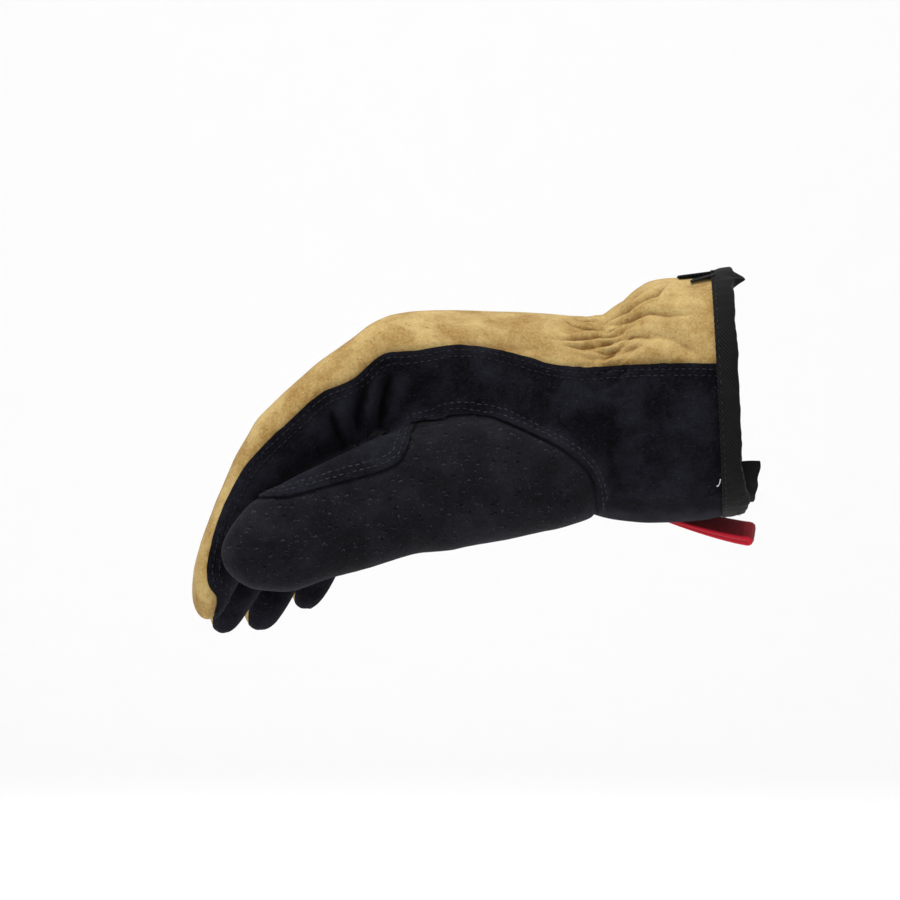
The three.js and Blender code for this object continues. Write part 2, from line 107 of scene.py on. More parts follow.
# Folds on the gathered wrist and the back of the hand: kind, depth, width, then x and z of each point
BACK_FOLDS: tuple[tuple[Stroke, float, float, Rows], ...] = (
    (Stroke.VALLEY, 0.8, 1.7, ((-46.2, 25.5), (-42.4, 25.5), (-36.2, 28.6), (-27.9, 32.8), (-22.0, 37.6))),
    (Stroke.VALLEY, 0.6, 1.4, ((-48.5, 23.0), (-43.1, 23.1), (-35.5, 25.0), (-24.5, 25.7), (-14.0, 26.4))),
    (Stroke.VALLEY, 0.6, 1.3, ((-52.5, 22.1), (-48.6, 20.8), (-45.5, 20.4), (-39.0, 23.1), (-34.0, 25.9))),
    (Stroke.VALLEY, 0.7, 1.4, ((-66.0, 17.6), (-56.2, 17.6), (-48.0, 19.0), (-40.4, 20.0), (-33.0, 23.8))),
    (Stroke.VALLEY, 0.8, 1.5, ((-51.5, 17.6), (-42.4, 17.4), (-36.2, 19.0), (-31.4, 19.3), (-25.9, 18.6))),
    (Stroke.VALLEY, 0.8, 3.6, ((-36.0, 19.8), (-29.3, 20.2), (-22.5, 18.6), (-16.2, 15.0), (-10.5, 10.8))),
    (Stroke.VALLEY, 0.6, 1.3, ((-64.0, 16.6), (-53.5, 14.8), (-46.6, 15.7), (-42.4, 16.2), (-36.5, 16.2))),
    (Stroke.VALLEY, 0.7, 1.4, ((-52.0, 14.3), (-46.6, 13.1), (-43.8, 13.7), (-39.0, 16.2), (-35.0, 17.6))),
    (Stroke.VALLEY, 0.6, 1.4, ((-53.0, 11.7), (-48.0, 11.7), (-44.5, 12.4), (-37.6, 14.8), (-32.5, 16.6))),
    (Stroke.VALLEY, 0.6, 1.3, ((-61.5, 25.0), (-56.2, 22.4), (-52.8, 21.7), (-46.6, 21.4), (-42.0, 21.3))),
    (Stroke.VALLEY, 0.5, 1.2, ((-59.5, 25.6), (-52.8, 24.1), (-49.3, 24.0), (-43.5, 23.9))),
    (Stroke.VALLEY, 0.6, 1.3, ((-48.5, 25.2), (-43.8, 27.5), (-38.3, 30.0), (-34.7, 33.6), (-31.5, 36.8))),
    (Stroke.VALLEY, 0.5, 1.2, ((-43.0, 26.0), (-39.0, 29.0), (-36.9, 30.7), (-32.0, 33.5))),
    (Stroke.VALLEY, 0.4, 3.0, ((-20.0, 36.4), (-14.0, 35.8), (-7.0, 36.8))),
    (Stroke.RIDGE, 0.4, 2.8, ((-38.0, 27.0), (-30.0, 28.6), (-22.0, 28.6), (-10.0, 29.5))),
    (Stroke.RIDGE, 0.4, 2.6, ((-39.0, 12.6), (-31.0, 14.2), (-25.0, 13.4), (-19.0, 11.0))),
    (Stroke.RIDGE, 0.35, 4.5, ((-104.0, 22.0), (-92.0, 20.5), (-80.0, 19.5), (-66.0, 19.6))),
    (Stroke.VALLEY, 0.4, 4.0, ((-98.0, 16.4), (-86.0, 15.6), (-74.0, 14.8), (-62.0, 14.6))),
)

# Folds of the black side above the thumb, and across the thumb
SIDE_FOLDS: tuple[tuple[Stroke, float, float, Rows], ...] = (
    (Stroke.VALLEY, 1.9, 3.4, ((-126.0, 4.0), (-127.0, -3.0), (-128.5, -9.0), (-129.5, -16.5))),
    (Stroke.VALLEY, 1.7, 2.8, ((-117.5, 7.0), (-119.0, 1.0), (-121.0, -6.0), (-122.0, -13.5))),
    (Stroke.VALLEY, 1.2, 3.2, ((-138.5, -6.0), (-136.5, -12.0), (-133.5, -20.0))),
    (Stroke.RIDGE, 0.8, 3.0, ((-122.5, 5.0), (-124.0, -2.0), (-125.5, -9.0), (-126.0, -15.0))),
    (Stroke.RIDGE, 0.7, 3.5, ((-112.5, 7.0), (-113.5, 1.0), (-115.0, -5.0))),
    (Stroke.VALLEY, 0.6, 6.0, ((-40.0, 2.0), (-44.0, -10.0), (-44.0, -24.0), (-42.0, -36.0))),
)


@dataclass(frozen=True)
class Cuff:
    """The wrist opening's section: a rounded oval that leans and is slightly skewed."""

    up: float = 41.5
    near: float = 33.5
    roundness: float = 2.2
    pitch: float = 3.2
    skew: float = 0.06
    drop: float = 0.125
    swell: float = 0.045

    def point(self, x: float, degrees: float, out: float) -> Vector:
        """A point by the cuff's wall.

        Args:
            x: Distance from the rim in millimetres, negative towards the fingers.
            degrees: Angle round the cuff, 0 at the little finger side and 90 at the back.
            out: Distance outside the leather in millimetres.

        Returns:
            The point in metres.
        """
        angle = math.radians(degrees)
        c, s = math.cos(angle), math.sin(angle)
        grown = -x * self.swell
        side = self.near + grown + out
        height = self.up + out + (grown * 2 if s < 0 else 0)
        power = 2 / self.roundness
        u = side * math.copysign(abs(c) ** power, c)
        v = height * math.copysign(abs(s) ** power, s)
        lean = math.radians(self.pitch * (1 + x * 0.018))
        skew = self.skew * (1 + x * 0.028)
        return Vector((x + skew * u - math.sin(lean) * v, u, x * self.drop + math.cos(lean) * v)) * MM

    def normal(self) -> Vector:
        """The direction that the opening faces."""
        lean = math.radians(self.pitch)
        return Vector((math.cos(lean), -self.skew * math.cos(lean), math.sin(lean))).normalized()


CUFF = Cuff()


# Mesh helpers


def object_from(bm: bmesh.types.BMesh, name: str) -> bpy.types.Object:
    """Makes a smooth-shaded object in the scene.

    Args:
        bm: The piece's bmesh, which is freed.
        name: The piece's name.

    Returns:
        The object.
    """
    mesh = bpy.data.meshes.new(name)
    bm.to_mesh(mesh)
    bm.free()
    mesh.shade_smooth()
    made = bpy.data.objects.new(name, mesh)
    bpy.context.scene.collection.objects.link(made)
    return made


def solidify(made: bpy.types.Object, thickness: float, offset: float = -1.0) -> None:
    """Gives a sheet its thickness.

    Args:
        made: The sheet's object.
        thickness: The thickness in metres.
        offset: -1 for a wall that grows inwards, 0 for one that grows to both sides.
    """
    modifier = made.modifiers.new("thickness", "SOLIDIFY")
    modifier.thickness = thickness
    modifier.offset = offset
    modifier.use_quality_normals = True


def only_new(items: list) -> tuple[list[bmesh.types.BMVert], list[bmesh.types.BMEdge]]:
    """The far side of what an extrusion made.

    Args:
        items: The extrusion's vertices, edges and faces.

    Returns:
        The new vertices, and the edges between them.
    """
    verts = [item for item in items if isinstance(item, bmesh.types.BMVert)]
    new = set(verts)
    edges = [item for item in items if isinstance(item, bmesh.types.BMEdge) and set(item.verts) <= new]
    return verts, edges


def neighbours(
    edges: list[bmesh.types.BMEdge],
) -> dict[bmesh.types.BMVert, list[bmesh.types.BMVert]]:
    """Which vertices a set of edges joins.

    Args:
        edges: The edges.

    Returns:
        For each vertex, those at the other end of its edges.
    """
    around: dict[bmesh.types.BMVert, list[bmesh.types.BMVert]] = {}
    for edge in edges:
        a, b = edge.verts
        around.setdefault(a, []).append(b)
        around.setdefault(b, []).append(a)
    return around


def connected(start: bmesh.types.BMVert) -> set[bmesh.types.BMVert]:
    """The island that a vertex belongs to.

    Args:
        start: One of the island's vertices.

    Returns:
        All vertices that edges join to it, with itself.
    """
    seen = {start}
    search = [start]
    while search:
        vert = search.pop()
        for edge in vert.link_edges:
            other = edge.other_vert(vert)
            if other not in seen:
                seen.add(other)
                search.append(other)
    return seen


def smoothstep(low: float, high: float, value: np.ndarray) -> np.ndarray:
    """A soft step from 0 at low to 1 at high."""
    t = np.clip((value - low) / (high - low), 0, 1)
    return t * t * (3 - 2 * t)


def bell(value: np.ndarray | float, middle: float, spread: float) -> np.ndarray | float:
    """A smooth hump of height 1 round a middle, which falls to about a third at its spread."""
    return np.exp(-(((value - middle) / spread) ** 2))


def hump(value: float, shape: tuple[float, float, float]) -> float:
    """The height at a value of a hump that is given by its size, its middle and its spread."""
    size, middle, spread = shape
    return size * bell(value, middle, spread)


def ramp(share: float, start: float) -> float:
    """A straight rise from 0 at the start to 1 at a share of 1."""
    return max(share - start, 0) / (1 - start)


def neighbour_mean(values: np.ndarray, edges: np.ndarray) -> np.ndarray:
    """The mean of the values at each vertex's neighbours.

    Args:
        values: One row of numbers for each vertex.
        edges: The two vertex numbers of each edge.

    Returns:
        The means, in the shape of values.
    """
    a, b = edges.T
    total = len(values)
    count = np.maximum(np.bincount(edges.ravel(), minlength=total), 1)
    sums = [np.bincount(a, column[b], total) + np.bincount(b, column[a], total) for column in values.T]
    return (np.stack(sums) / count).T


def line_distance(points: np.ndarray, rows: np.ndarray) -> tuple[np.ndarray, np.ndarray]:
    """How far points lie from a drawn line, and where along it.

    Args:
        points: Two coordinates for each point.
        rows: The line's own points.

    Returns:
        The distances, and the share of the line's length at the nearest place.
    """
    lengths = np.linalg.norm(np.diff(rows, axis=0), axis=1)
    starts = np.concatenate([[0], np.cumsum(lengths)])
    best = np.full(len(points), np.inf)
    share = np.zeros(len(points))
    for i, length in enumerate(lengths):
        way = (rows[i + 1] - rows[i]) / length
        along = np.clip((points - rows[i]) @ way, 0, length)
        away = np.linalg.norm(points - rows[i] - along[:, None] * way, axis=1)
        closer = away < best
        best[closer] = away[closer]
        share[closer] = (starts[i] + along[closer]) / starts[-1]
    return best, share


def arc_round_hand(points: np.ndarray, z: np.ndarray | None = None) -> np.ndarray:
    """How far round the hand points lie from the top of its back, in millimetres.

    Args:
        points: Rows of x, y and z in millimetres, or of x and y with the z given apart.
        z: Heights of points on the thumb side, where y isn't known.

    Returns:
        Lengths of arc, positive on the thumb side.
    """
    x = points[:, 0]
    rows = np.array(SLEEVE, float)
    middle, up, wide = (np.interp(x, rows[:, 0], rows[:, i]) for i in (1, 2, 3))
    if z is not None:
        return np.arccos(np.clip((z - middle) / up, 0, 1) ** 1.1) * HAND_RADIUS
    return np.arctan2(-points[:, 1] / wide, (points[:, 2] - middle) / up) * HAND_RADIUS


def vertex_array(bm: bmesh.types.BMesh) -> np.ndarray:
    """The vertices' places, one row each."""
    return np.array([vert.co[:] for vert in bm.verts])


def normal_array(bm: bmesh.types.BMesh) -> np.ndarray:
    """The vertices' normals, one row each."""
    return np.array([vert.normal[:] for vert in bm.verts])


def place(bm: bmesh.types.BMesh, points: np.ndarray) -> None:
    """Moves every vertex to a new place.

    Args:
        bm: The mesh.
        points: One row for each vertex.
    """
    for vert, point in zip(bm.verts, points):
        vert.co = point
    bm.normal_update()


def edge_array(bm: bmesh.types.BMesh) -> np.ndarray:
    """The two vertex numbers of each edge."""
    bm.verts.index_update()
    return np.array([[vert.index for vert in edge.verts] for edge in bm.edges])


def cut_below(
    bm: bmesh.types.BMesh, name: str, level: float, keep_below: bool = False, snap: float = 0.0
) -> list:
    """Cuts a surface along a level of one of its vertex fields.

    Args:
        bm: The surface, whose vertices carry the field.
        name: The field's name.
        level: The value to cut along.
        keep_below: Whether the part below the level stays too.
        snap: How far from the level a vertex still counts as on it, which avoids slivers.

    Returns:
        The vertices and edges along the cut.
    """
    layer = bm.verts.layers.float[name]
    home = bm.verts.layers.float_vector["home"]
    for vert in bm.verts:
        vert[home] = vert.co
        vert.co = (vert[layer], vert.co.y, vert.co.z)
    result = bmesh.ops.bisect_plane(
        bm,
        geom=bm.verts[:] + bm.edges[:] + bm.faces[:],
        dist=snap,
        plane_co=(level, 0, 0),
        plane_no=(1, 0, 0),
        clear_inner=not keep_below,
    )
    for vert in bm.verts:
        vert.co = vert[home]
    bm.normal_update()
    return result["geom_cut"]


def even_edge(bm: bmesh.types.BMesh, rounds: int = 6) -> None:
    """Evens out a sheet's open edge, where a cut left it ragged.

    Args:
        bm: The sheet.
        rounds: How often each vertex moves half way to the mean of its two neighbours.
    """
    around = neighbours([edge for edge in bm.edges if edge.is_boundary])
    for _ in range(rounds):
        means = [sum((other.co for other in near), Vector()) / len(near) for near in around.values()]
        for vert, mean in zip(around, means):
            vert.co = vert.co.lerp(mean, 0.5)
    bm.normal_update()


def chains(edges: list[bmesh.types.BMEdge]) -> list[list[bmesh.types.BMVert]]:
    """The runs of vertices that a set of edges makes, end to end.

    Args:
        edges: The edges, in any order.

    Returns:
        The runs of more than three vertices.
    """
    around = neighbours(edges)
    ends = [vert for vert, near in around.items() if len(near) == 1]
    seen: set[bmesh.types.BMVert] = set()
    runs = []
    for start in ends + list(around):
        if start in seen:
            continue
        run = [start]
        seen.add(start)
        while True:
            onward = [vert for vert in around[run[-1]] if vert not in seen]
            if not onward:
                break
            run.append(onward[0])
            seen.add(onward[0])
        if len(run) > 3:
            runs.append(run)
    return runs


def resample(points: list[Vector], normals: list[Vector], pitch: float) -> Line:
    """Evenly spaced points and normals along a run.

    Args:
        points: The run's points.
        normals: The surface's normals there.
        pitch: The spacing in metres.

    Returns:
        Pairs of a point and a normal.
    """
    made: Line = []
    left = pitch / 2
    for i in range(len(points) - 1):
        a, b = points[i], points[i + 1]
        length = (b - a).length
        while length > 0 and left <= length:
            share = left / length
            made.append((a.lerp(b, share), normals[i].lerp(normals[i + 1], share).normalized()))
            left += pitch
        left -= length
    return made


# The leather

# How far a lapped edge stands up over its neighbour, and how far a tucked one reaches under
LAP_OVER_BACK = 0.55 * MM
LAP_OVER_THUMB = 0.7 * MM
TUCK = 2.4 * MM
STRIP_TUCK = 0.3 * MM


@dataclass
class Skin:
    """The glove's whole outer surface, folded, with its distance to each leather panel."""

    voxel: float = 1.1 * MM
    fatten: float = 0.5 * MM
    cycles: int = 3
    rounds: int = 27
    pace: float = 0.6
    trim: float = -0.8 * MM
    reach: float = 12 * MM
    gathers: tuple[float, float] = (-60 * MM, -14 * MM)
    gather_depth: float = 1.9
    back_depth: float = 1.9
    side_depth: float = 1.7
    web_place: tuple[float, float, float] = (-112.0, -32.5, -7.5)
    web_size: tuple[float, float, float] = (11.5, 9.5, 9.5)
    web_pull: float = 6 * MM
    web_fade: tuple[float, float] = (1.4, 1.05)
    tip_shift: float = 3.0 * MM
    tip_heights: tuple[float, float] = (-38.0, -56.0)
    index_side: float = -23.0
    field_rounds: int = 5
    relief_rounds: int = 10
    elastic_at: float = -42.0
    elastic_reach: float = 9.5
    gather_pitch: float = 5.4
    gather_lean: float = 6.5
    gather_sharpness: float = 0.75
    gather_level: float = 0.6
    gather_ends: tuple[float, float] = (60.0, 42.0)
    near_calm: float = 0.55
    near_calm_over: tuple[float, float] = (-4.0, 8.0)
    far_shift: float = 2.5
    side_from: tuple[float, float] = (-14.0, -20.0)
    side_to: float = -47.0
    swells: tuple[tuple[float, float], ...] = ((0.22, 17.0), (0.09, 6.0))
    # How strongly creases get painted shade and crests painted highlight, and the share below which neither
    # is painted
    crease_shade_gain: float = 1.5
    crest_highlight_gain: float = 1.8
    crease_floor: float = 0.1
    surface: bmesh.types.BMesh = field(default_factory=bmesh.new)

    def build(self) -> None:
        """Makes the smooth surface over the CAD leather, then folds it."""
        raw = self._wrapped()
        self._soften(raw)
        self._trim()
        self._refine()
        self._measure()
        self._fold()

    def _wrapped(self) -> BVHTree:
        """Wraps one closed surface round all leather nodes and keeps its outside.

        Returns:
            The wrapped surface's search tree.
        """
        bm = bmesh.new()
        for leather in Leather:
            bm.from_mesh(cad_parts[leather.value].data)
        bmesh.ops.remove_doubles(bm, verts=bm.verts, dist=0.02 * MM)
        place(bm, vertex_array(bm) + normal_array(bm) * self.fatten)
        self._plug(bm)
        size = Matrix.Diagonal((*(radius * MM for radius in self.web_size), 1))
        spot = Matrix.Translation(Vector(self.web_place) * MM)
        bmesh.ops.create_uvsphere(bm, u_segments=32, v_segments=16, radius=1, matrix=spot @ size)
        wrapped = object_from(bm, "leather_wrap")
        remesh = wrapped.modifiers.new("wrap", "REMESH")
        remesh.mode = "VOXEL"
        remesh.voxel_size = self.voxel
        graph = bpy.context.evaluated_depsgraph_get()
        mesh = bpy.data.meshes.new_from_object(wrapped.evaluated_get(graph))
        self.surface.from_mesh(mesh)
        bpy.data.objects.remove(wrapped)
        bpy.data.meshes.remove(mesh)
        self._keep_outside()
        return BVHTree.FromBMesh(self.surface)

    def _plug(self, bm: bmesh.types.BMesh) -> None:
        """Closes the wrist with a plug, so that the outside is a surface of its own.

        Args:
            bm: The leather nodes' mesh, which gets the plug.
        """
        sides = 64
        ring = bmesh.ops.create_circle(bm, cap_ends=True, segments=sides, radius=1)["verts"]
        edges = list({edge for vert in ring for edge in vert.link_edges})
        far = only_new(bmesh.ops.extrude_edge_only(bm, edges=edges)["geom"])
        for x, verts in ((8, ring), (-3, far[0])):
            for vert, degrees in zip(verts, np.arange(sides) * 360 / sides):
                vert.co = CUFF.point(x, degrees, 0.1)
        faces = bmesh.ops.holes_fill(bm, edges=far[1], sides=0)["faces"]
        faces += [face for vert in ring for face in vert.link_faces]
        bmesh.ops.recalc_face_normals(bm, faces=list(set(faces)))

    def _keep_outside(self) -> None:
        """Keeps the shell that holds the vertex nearest the fingertips."""
        bm = self.surface
        outside = connected(min(bm.verts, key=lambda vert: vert.co.x))
        inside = [vert for vert in bm.verts if vert not in outside]
        bmesh.ops.delete(bm, geom=inside, context="VERTS")
        bm.normal_update()

    def _soften(self, raw: BVHTree) -> None:
        """Rounds the facets away, and swells the surface back to where it was.

        Args:
            raw: The search tree of the wrapped surface.
        """
        bm = self.surface
        edges = edge_array(bm)
        points = vertex_array(bm)
        for _ in range(self.cycles):
            for _ in range(self.rounds):
                points += self.pace * (neighbour_mean(points, edges) - points)
            place(bm, points)
            normals = normal_array(bm)
            lost = np.zeros((len(points), 1))
            for i, vert in enumerate(bm.verts):
                near = raw.find_nearest(vert.co, 4 * MM)
                if near[0] is not None:
                    lost[i] = (near[0] - vert.co).dot(vert.normal)
            for _ in range(self.rounds):
                lost = neighbour_mean(lost, edges)
            points = points + normals * (lost - self.fatten)
        place(bm, points)

    def _trim(self) -> None:
        """Cuts the plug off at the rim."""
        bm = self.surface
        normal = CUFF.normal()
        bmesh.ops.bisect_plane(
            bm,
            geom=bm.verts[:] + bm.edges[:] + bm.faces[:],
            dist=0,
            plane_co=normal * self.trim,
            plane_no=normal,
            clear_outer=True,
        )

    def _refine(self) -> None:
        """Halves the mesh over the gathers, and makes it all triangles."""
        bm = self.surface
        low, high = self.gathers
        fine = [e for e in bm.edges if all(low < v.co.x < high and v.co.z > 4 * MM for v in e.verts)]
        bmesh.ops.subdivide_edges(bm, edges=fine, cuts=1, use_grid_fill=True)
        bmesh.ops.triangulate(bm, faces=bm.faces)
        bm.normal_update()

    def _measure(self) -> None:
        """Stores each vertex's distance to every leather node and to the nearest other ones."""
        bm = self.surface
        edges = edge_array(bm)
        distances = {}
        for leather in Leather:
            node = bmesh.new()
            node.from_mesh(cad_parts[leather.value].data)
            tree = BVHTree.FromBMesh(node)
            node.free()
            found = [tree.find_nearest(vert.co, self.reach)[3] for vert in bm.verts]
            values = np.array([self.reach if value is None else value for value in found])[:, None]
            for _ in range(self.field_rounds):
                values = 0.5 * values + 0.5 * neighbour_mean(values, edges)
            distances[leather] = values[:, 0]
        points = vertex_array(bm) / MM
        from_web = np.linalg.norm((points - np.array(self.web_place)) / np.array(self.web_size), axis=1)
        distances[Leather.PALM] -= self.web_pull * smoothstep(*self.web_fade, from_web)
        on_tips = smoothstep(*self.tip_heights, points[:, 2]) * (points[:, 1] > self.index_side)
        distances[Leather.BACK] += self.tip_shift * on_tips
        for leather in Leather:
            others = np.min([distances[other] for other in Leather if other is not leather], axis=0)
            self._store(f"away_{leather.value}", distances[leather])
            self._store(f"within_{leather.value}", others - distances[leather])
        bm.verts.layers.float_vector.new("home")

    def _store(self, name: str, values: np.ndarray) -> None:
        """Keeps one number for each vertex as a field of the surface.

        Args:
            name: The field's name.
            values: One number for each vertex.
        """
        layer = self.surface.verts.layers.float.new(name)
        for vert, value in zip(self.surface.verts, values):
            vert[layer] = value

    def _fold(self) -> None:
        """Draws the gathers and folds, stores where their creases get painted shade and their crests painted
        highlight, and lets the leather undulate.
        """
        bm = self.surface
        points = vertex_array(bm)
        normals = normal_array(bm)
        height = self._gathers(points) + self.back_depth * self._folds(points, BACK_FOLDS, Face.BACK)
        height += self.side_depth * self._folds(points, SIDE_FOLDS, Face.SIDE)
        waves = [
            sum(rise * noise.noise(Vector(point) / (size * MM)) for rise, size in self.swells)
            for point in points
        ]
        # Painted shade and highlight: vertices below the mean height round them get painted crease shade,
        # those above it painted crest highlight
        edges = edge_array(bm)
        around = height[:, None]
        for _ in range(self.relief_rounds):
            around = neighbour_mean(around, edges)
        raised = height - around[:, 0]
        self._store("painted_crease_shade", np.clip(-raised * self.crease_shade_gain - self.crease_floor, 0, 1))
        self._store("painted_crest_highlight", np.clip(raised * self.crest_highlight_gain - self.crease_floor, 0, 1))
        place(bm, points + normals * (height + np.array(waves))[:, None] * MM)

    def _gathers(self, points: np.ndarray) -> np.ndarray:
        """The gathers over the elastic: crossing creases with puffs between.

        Args:
            points: The surface's vertices.

        Returns:
            Heights in millimetres.
        """
        p = points / MM
        arc = arc_round_hand(p)
        bend = 1.1 * np.sin(arc / 5.2) + 0.6 * np.sin(arc / 2.3 + 1)
        x = p[:, 0] - self.elastic_at + bend * 0.8
        lean = x / self.gather_lean
        turn = arc / self.gather_pitch + 0.12 * np.sin(arc / 7.0)
        one = np.abs(np.sin(math.pi * (turn + lean * 0.5)))
        two = np.abs(np.sin(math.pi * (turn - lean * 0.5)))
        braid = np.minimum(one, two) ** self.gather_sharpness
        near_elastic = bell(x, 0, self.elastic_reach)
        on_back = smoothstep(*self.gather_ends, np.abs(arc))
        on_back = on_back * (1 - self.near_calm * smoothstep(*self.near_calm_over, arc))
        return self.gather_depth * near_elastic * on_back * (braid - self.gather_level)

    def _folds(self, points: np.ndarray, folds: tuple, face: Face) -> np.ndarray:
        """The heights that a table of folds gives.

        Args:
            points: The surface's vertices.
            folds: The folds' kinds, depths, widths and lines.
            face: The side of the glove that they lie on.

        Returns:
            Heights in millimetres.
        """
        p = points / MM
        arc_here = arc_round_hand(p)
        on_side = smoothstep(*self.side_from, p[:, 1]) * (p[:, 1] > self.side_to)
        height = np.zeros(len(p))
        for stroke, depth, width, rows in folds:
            line = np.array(rows, float)
            if face is Face.SIDE:
                height += self._stroke(p[:, [0, 2]], line, stroke, depth, width) * on_side
                continue
            line = np.stack([line[:, 0], arc_round_hand(line, line[:, 1])], axis=1)
            for arc, shift in ((arc_here, 0.0), (-arc_here, self.far_shift)):
                flat = np.stack([p[:, 0] + shift, arc + shift * 0.5], axis=1)
                on_back = (arc > -2) & (p[:, 2] > 2)
                height += self._stroke(flat, line, stroke, depth, width) * on_back
        return height

    def _stroke(
        self, flat: np.ndarray, line: np.ndarray, stroke: Stroke, depth: float, width: float
    ) -> np.ndarray:
        """One fold, which tapers off at both ends and lifts the leather beside it.

        Args:
            flat: Two coordinates for each vertex.
            line: The fold's line in the same coordinates.
            stroke: Whether it sinks or rises.
            depth: Its depth.
            width: Its width in millimetres.

        Returns:
            The height at each vertex.
        """
        away, share = line_distance(flat, line)
        taper = smoothstep(-0.04, 0.38, share) * smoothstep(1.04, 0.62, share)
        width = width * (0.7 + 0.3 * taper)
        crease = np.exp(-((away / (0.62 * width)) ** 1.35))
        shoulder = bell(away, 1.5 * width, 0.8 * width)
        return stroke.value * depth * taper * (crease - 0.28 * shoulder)

    def copy(self) -> bmesh.types.BMesh:
        """A copy of the surface to cut a panel from."""
        return self.surface.copy()


@dataclass
class Panel:
    """One leather panel, cut from the skin, lapped over its neighbours or tucked under them."""

    name: str
    leather: Leather
    tuck: float = 0.0
    laps_over: tuple[tuple[Leather, float], ...] = ()
    dips_under: tuple[Leather, ...] = ()
    thickness: float = 1.0 * MM
    roll: float = 6.0 * MM
    rows: tuple[float, ...] = (2.0 * MM, 4.1 * MM)
    snap: float = 0.3 * MM
    stitch_dent: float = 0.22 * MM
    dent_width: float = 0.55 * MM
    dip: float = 0.55 * MM
    dip_reach: float = 2.4 * MM
    mesh: bpy.types.Object | None = None

    def build(self, skin: Skin) -> bpy.types.Object:
        """Cuts the panel out and gives it its thickness.

        Args:
            skin: The whole glove's surface.

        Returns:
            The panel's object.
        """
        bm = self.cut(skin)
        for edge in bm.edges:
            edge.smooth = not edge.is_boundary
        self.mesh = object_from(bm, self.name)
        self._flatten_map()
        self._forget_fields()
        solidify(self.mesh, self.thickness)
        return self.mesh

    def cut(self, skin: Skin) -> bmesh.types.BMesh:
        """The panel's sheet, with its edges lifted or sunk.

        Args:
            skin: The whole glove's surface.

        Returns:
            A bmesh of the sheet, which still has the skin's fields.
        """
        bm = skin.copy()
        cut_below(bm, f"within_{self.leather.value}", -self.tuck, snap=self.snap)
        self._drop_crumbs(bm)
        even_edge(bm)
        self._lift(bm)
        return bm

    def _drop_crumbs(self, bm: bmesh.types.BMesh) -> None:
        """Removes loose crumbs that the cut leaves beside the panel.

        Args:
            bm: The panel's sheet.
        """
        left = set(bm.verts)
        islands = []
        while left:
            island = connected(next(iter(left)))
            left -= island
            islands.append(island)
        islands.sort(key=len)
        crumbs = [vert for island in islands[:-1] for vert in island]
        bmesh.ops.delete(bm, geom=crumbs, context="VERTS")

    def _lift(self, bm: bmesh.types.BMesh) -> None:
        """Raises the lapped edges, draws them in along the stitches and sinks the tucked ones.

        Args:
            bm: The panel's sheet.
        """
        bm.normal_update()
        points, normals = vertex_array(bm), normal_array(bm)
        edges = edge_array(bm)
        for _ in range(3):
            normals = 0.4 * normals + 0.6 * neighbour_mean(normals, edges)
        normals /= np.linalg.norm(normals, axis=1)[:, None]
        height = np.zeros(len(points))
        for other, rise in self.laps_over:
            away = self._field(bm, other)
            lap = rise * (1 - smoothstep(0.2 * self.roll, self.roll, away))
            for row in self.rows:
                lap -= self.stitch_dent * bell(away, row, self.dent_width)
            height = np.maximum(height, lap) if height.any() else lap
        for other in self.dips_under:
            away = self._field(bm, other)
            height -= self.dip * (1 - smoothstep(0.1 * MM, self.dip_reach, away))
        place(bm, points + normals * height[:, None])

    def _field(self, bm: bmesh.types.BMesh, other: Leather) -> np.ndarray:
        """The vertices' distances to a neighbour."""
        layer = bm.verts.layers.float[f"away_{other.value}"]
        return np.array([vert[layer] for vert in bm.verts])

    def _flatten_map(self) -> None:
        """Lays the leather flat, in millimetres, so that its grain follows the surface."""
        mesh = self.mesh.data
        count = len(mesh.vertices)
        points = np.empty(count * 3)
        mesh.vertices.foreach_get("co", points)
        p = points.reshape(-1, 3) / MM
        corners = np.empty(len(mesh.loops), int)
        mesh.loops.foreach_get("vertex_index", corners)
        if self.leather is Leather.BACK:
            on_fingers = smoothstep(-98, -124, p[:, 0])
            along = p[:, 0] + 0.9 * on_fingers * p[:, 2]
            around = arc_round_hand(p) * (1 - on_fingers) - p[:, 1] * on_fingers
            flat = np.stack([along, around], axis=1)
        else:
            flat = np.stack([p[:, 0] + p[:, 1] * 0.3, p[:, 2]], axis=1)
        mesh.uv_layers.new(name="grain").data.foreach_set("uv", flat[corners].ravel())

    def _forget_fields(self) -> None:
        """Removes the fields that only the cutting needed."""
        attributes = self.mesh.data.attributes
        for name in [item.name for item in attributes]:
            if name == "home" or name.startswith(("away_", "within_")):
                attributes.remove(attributes[name])


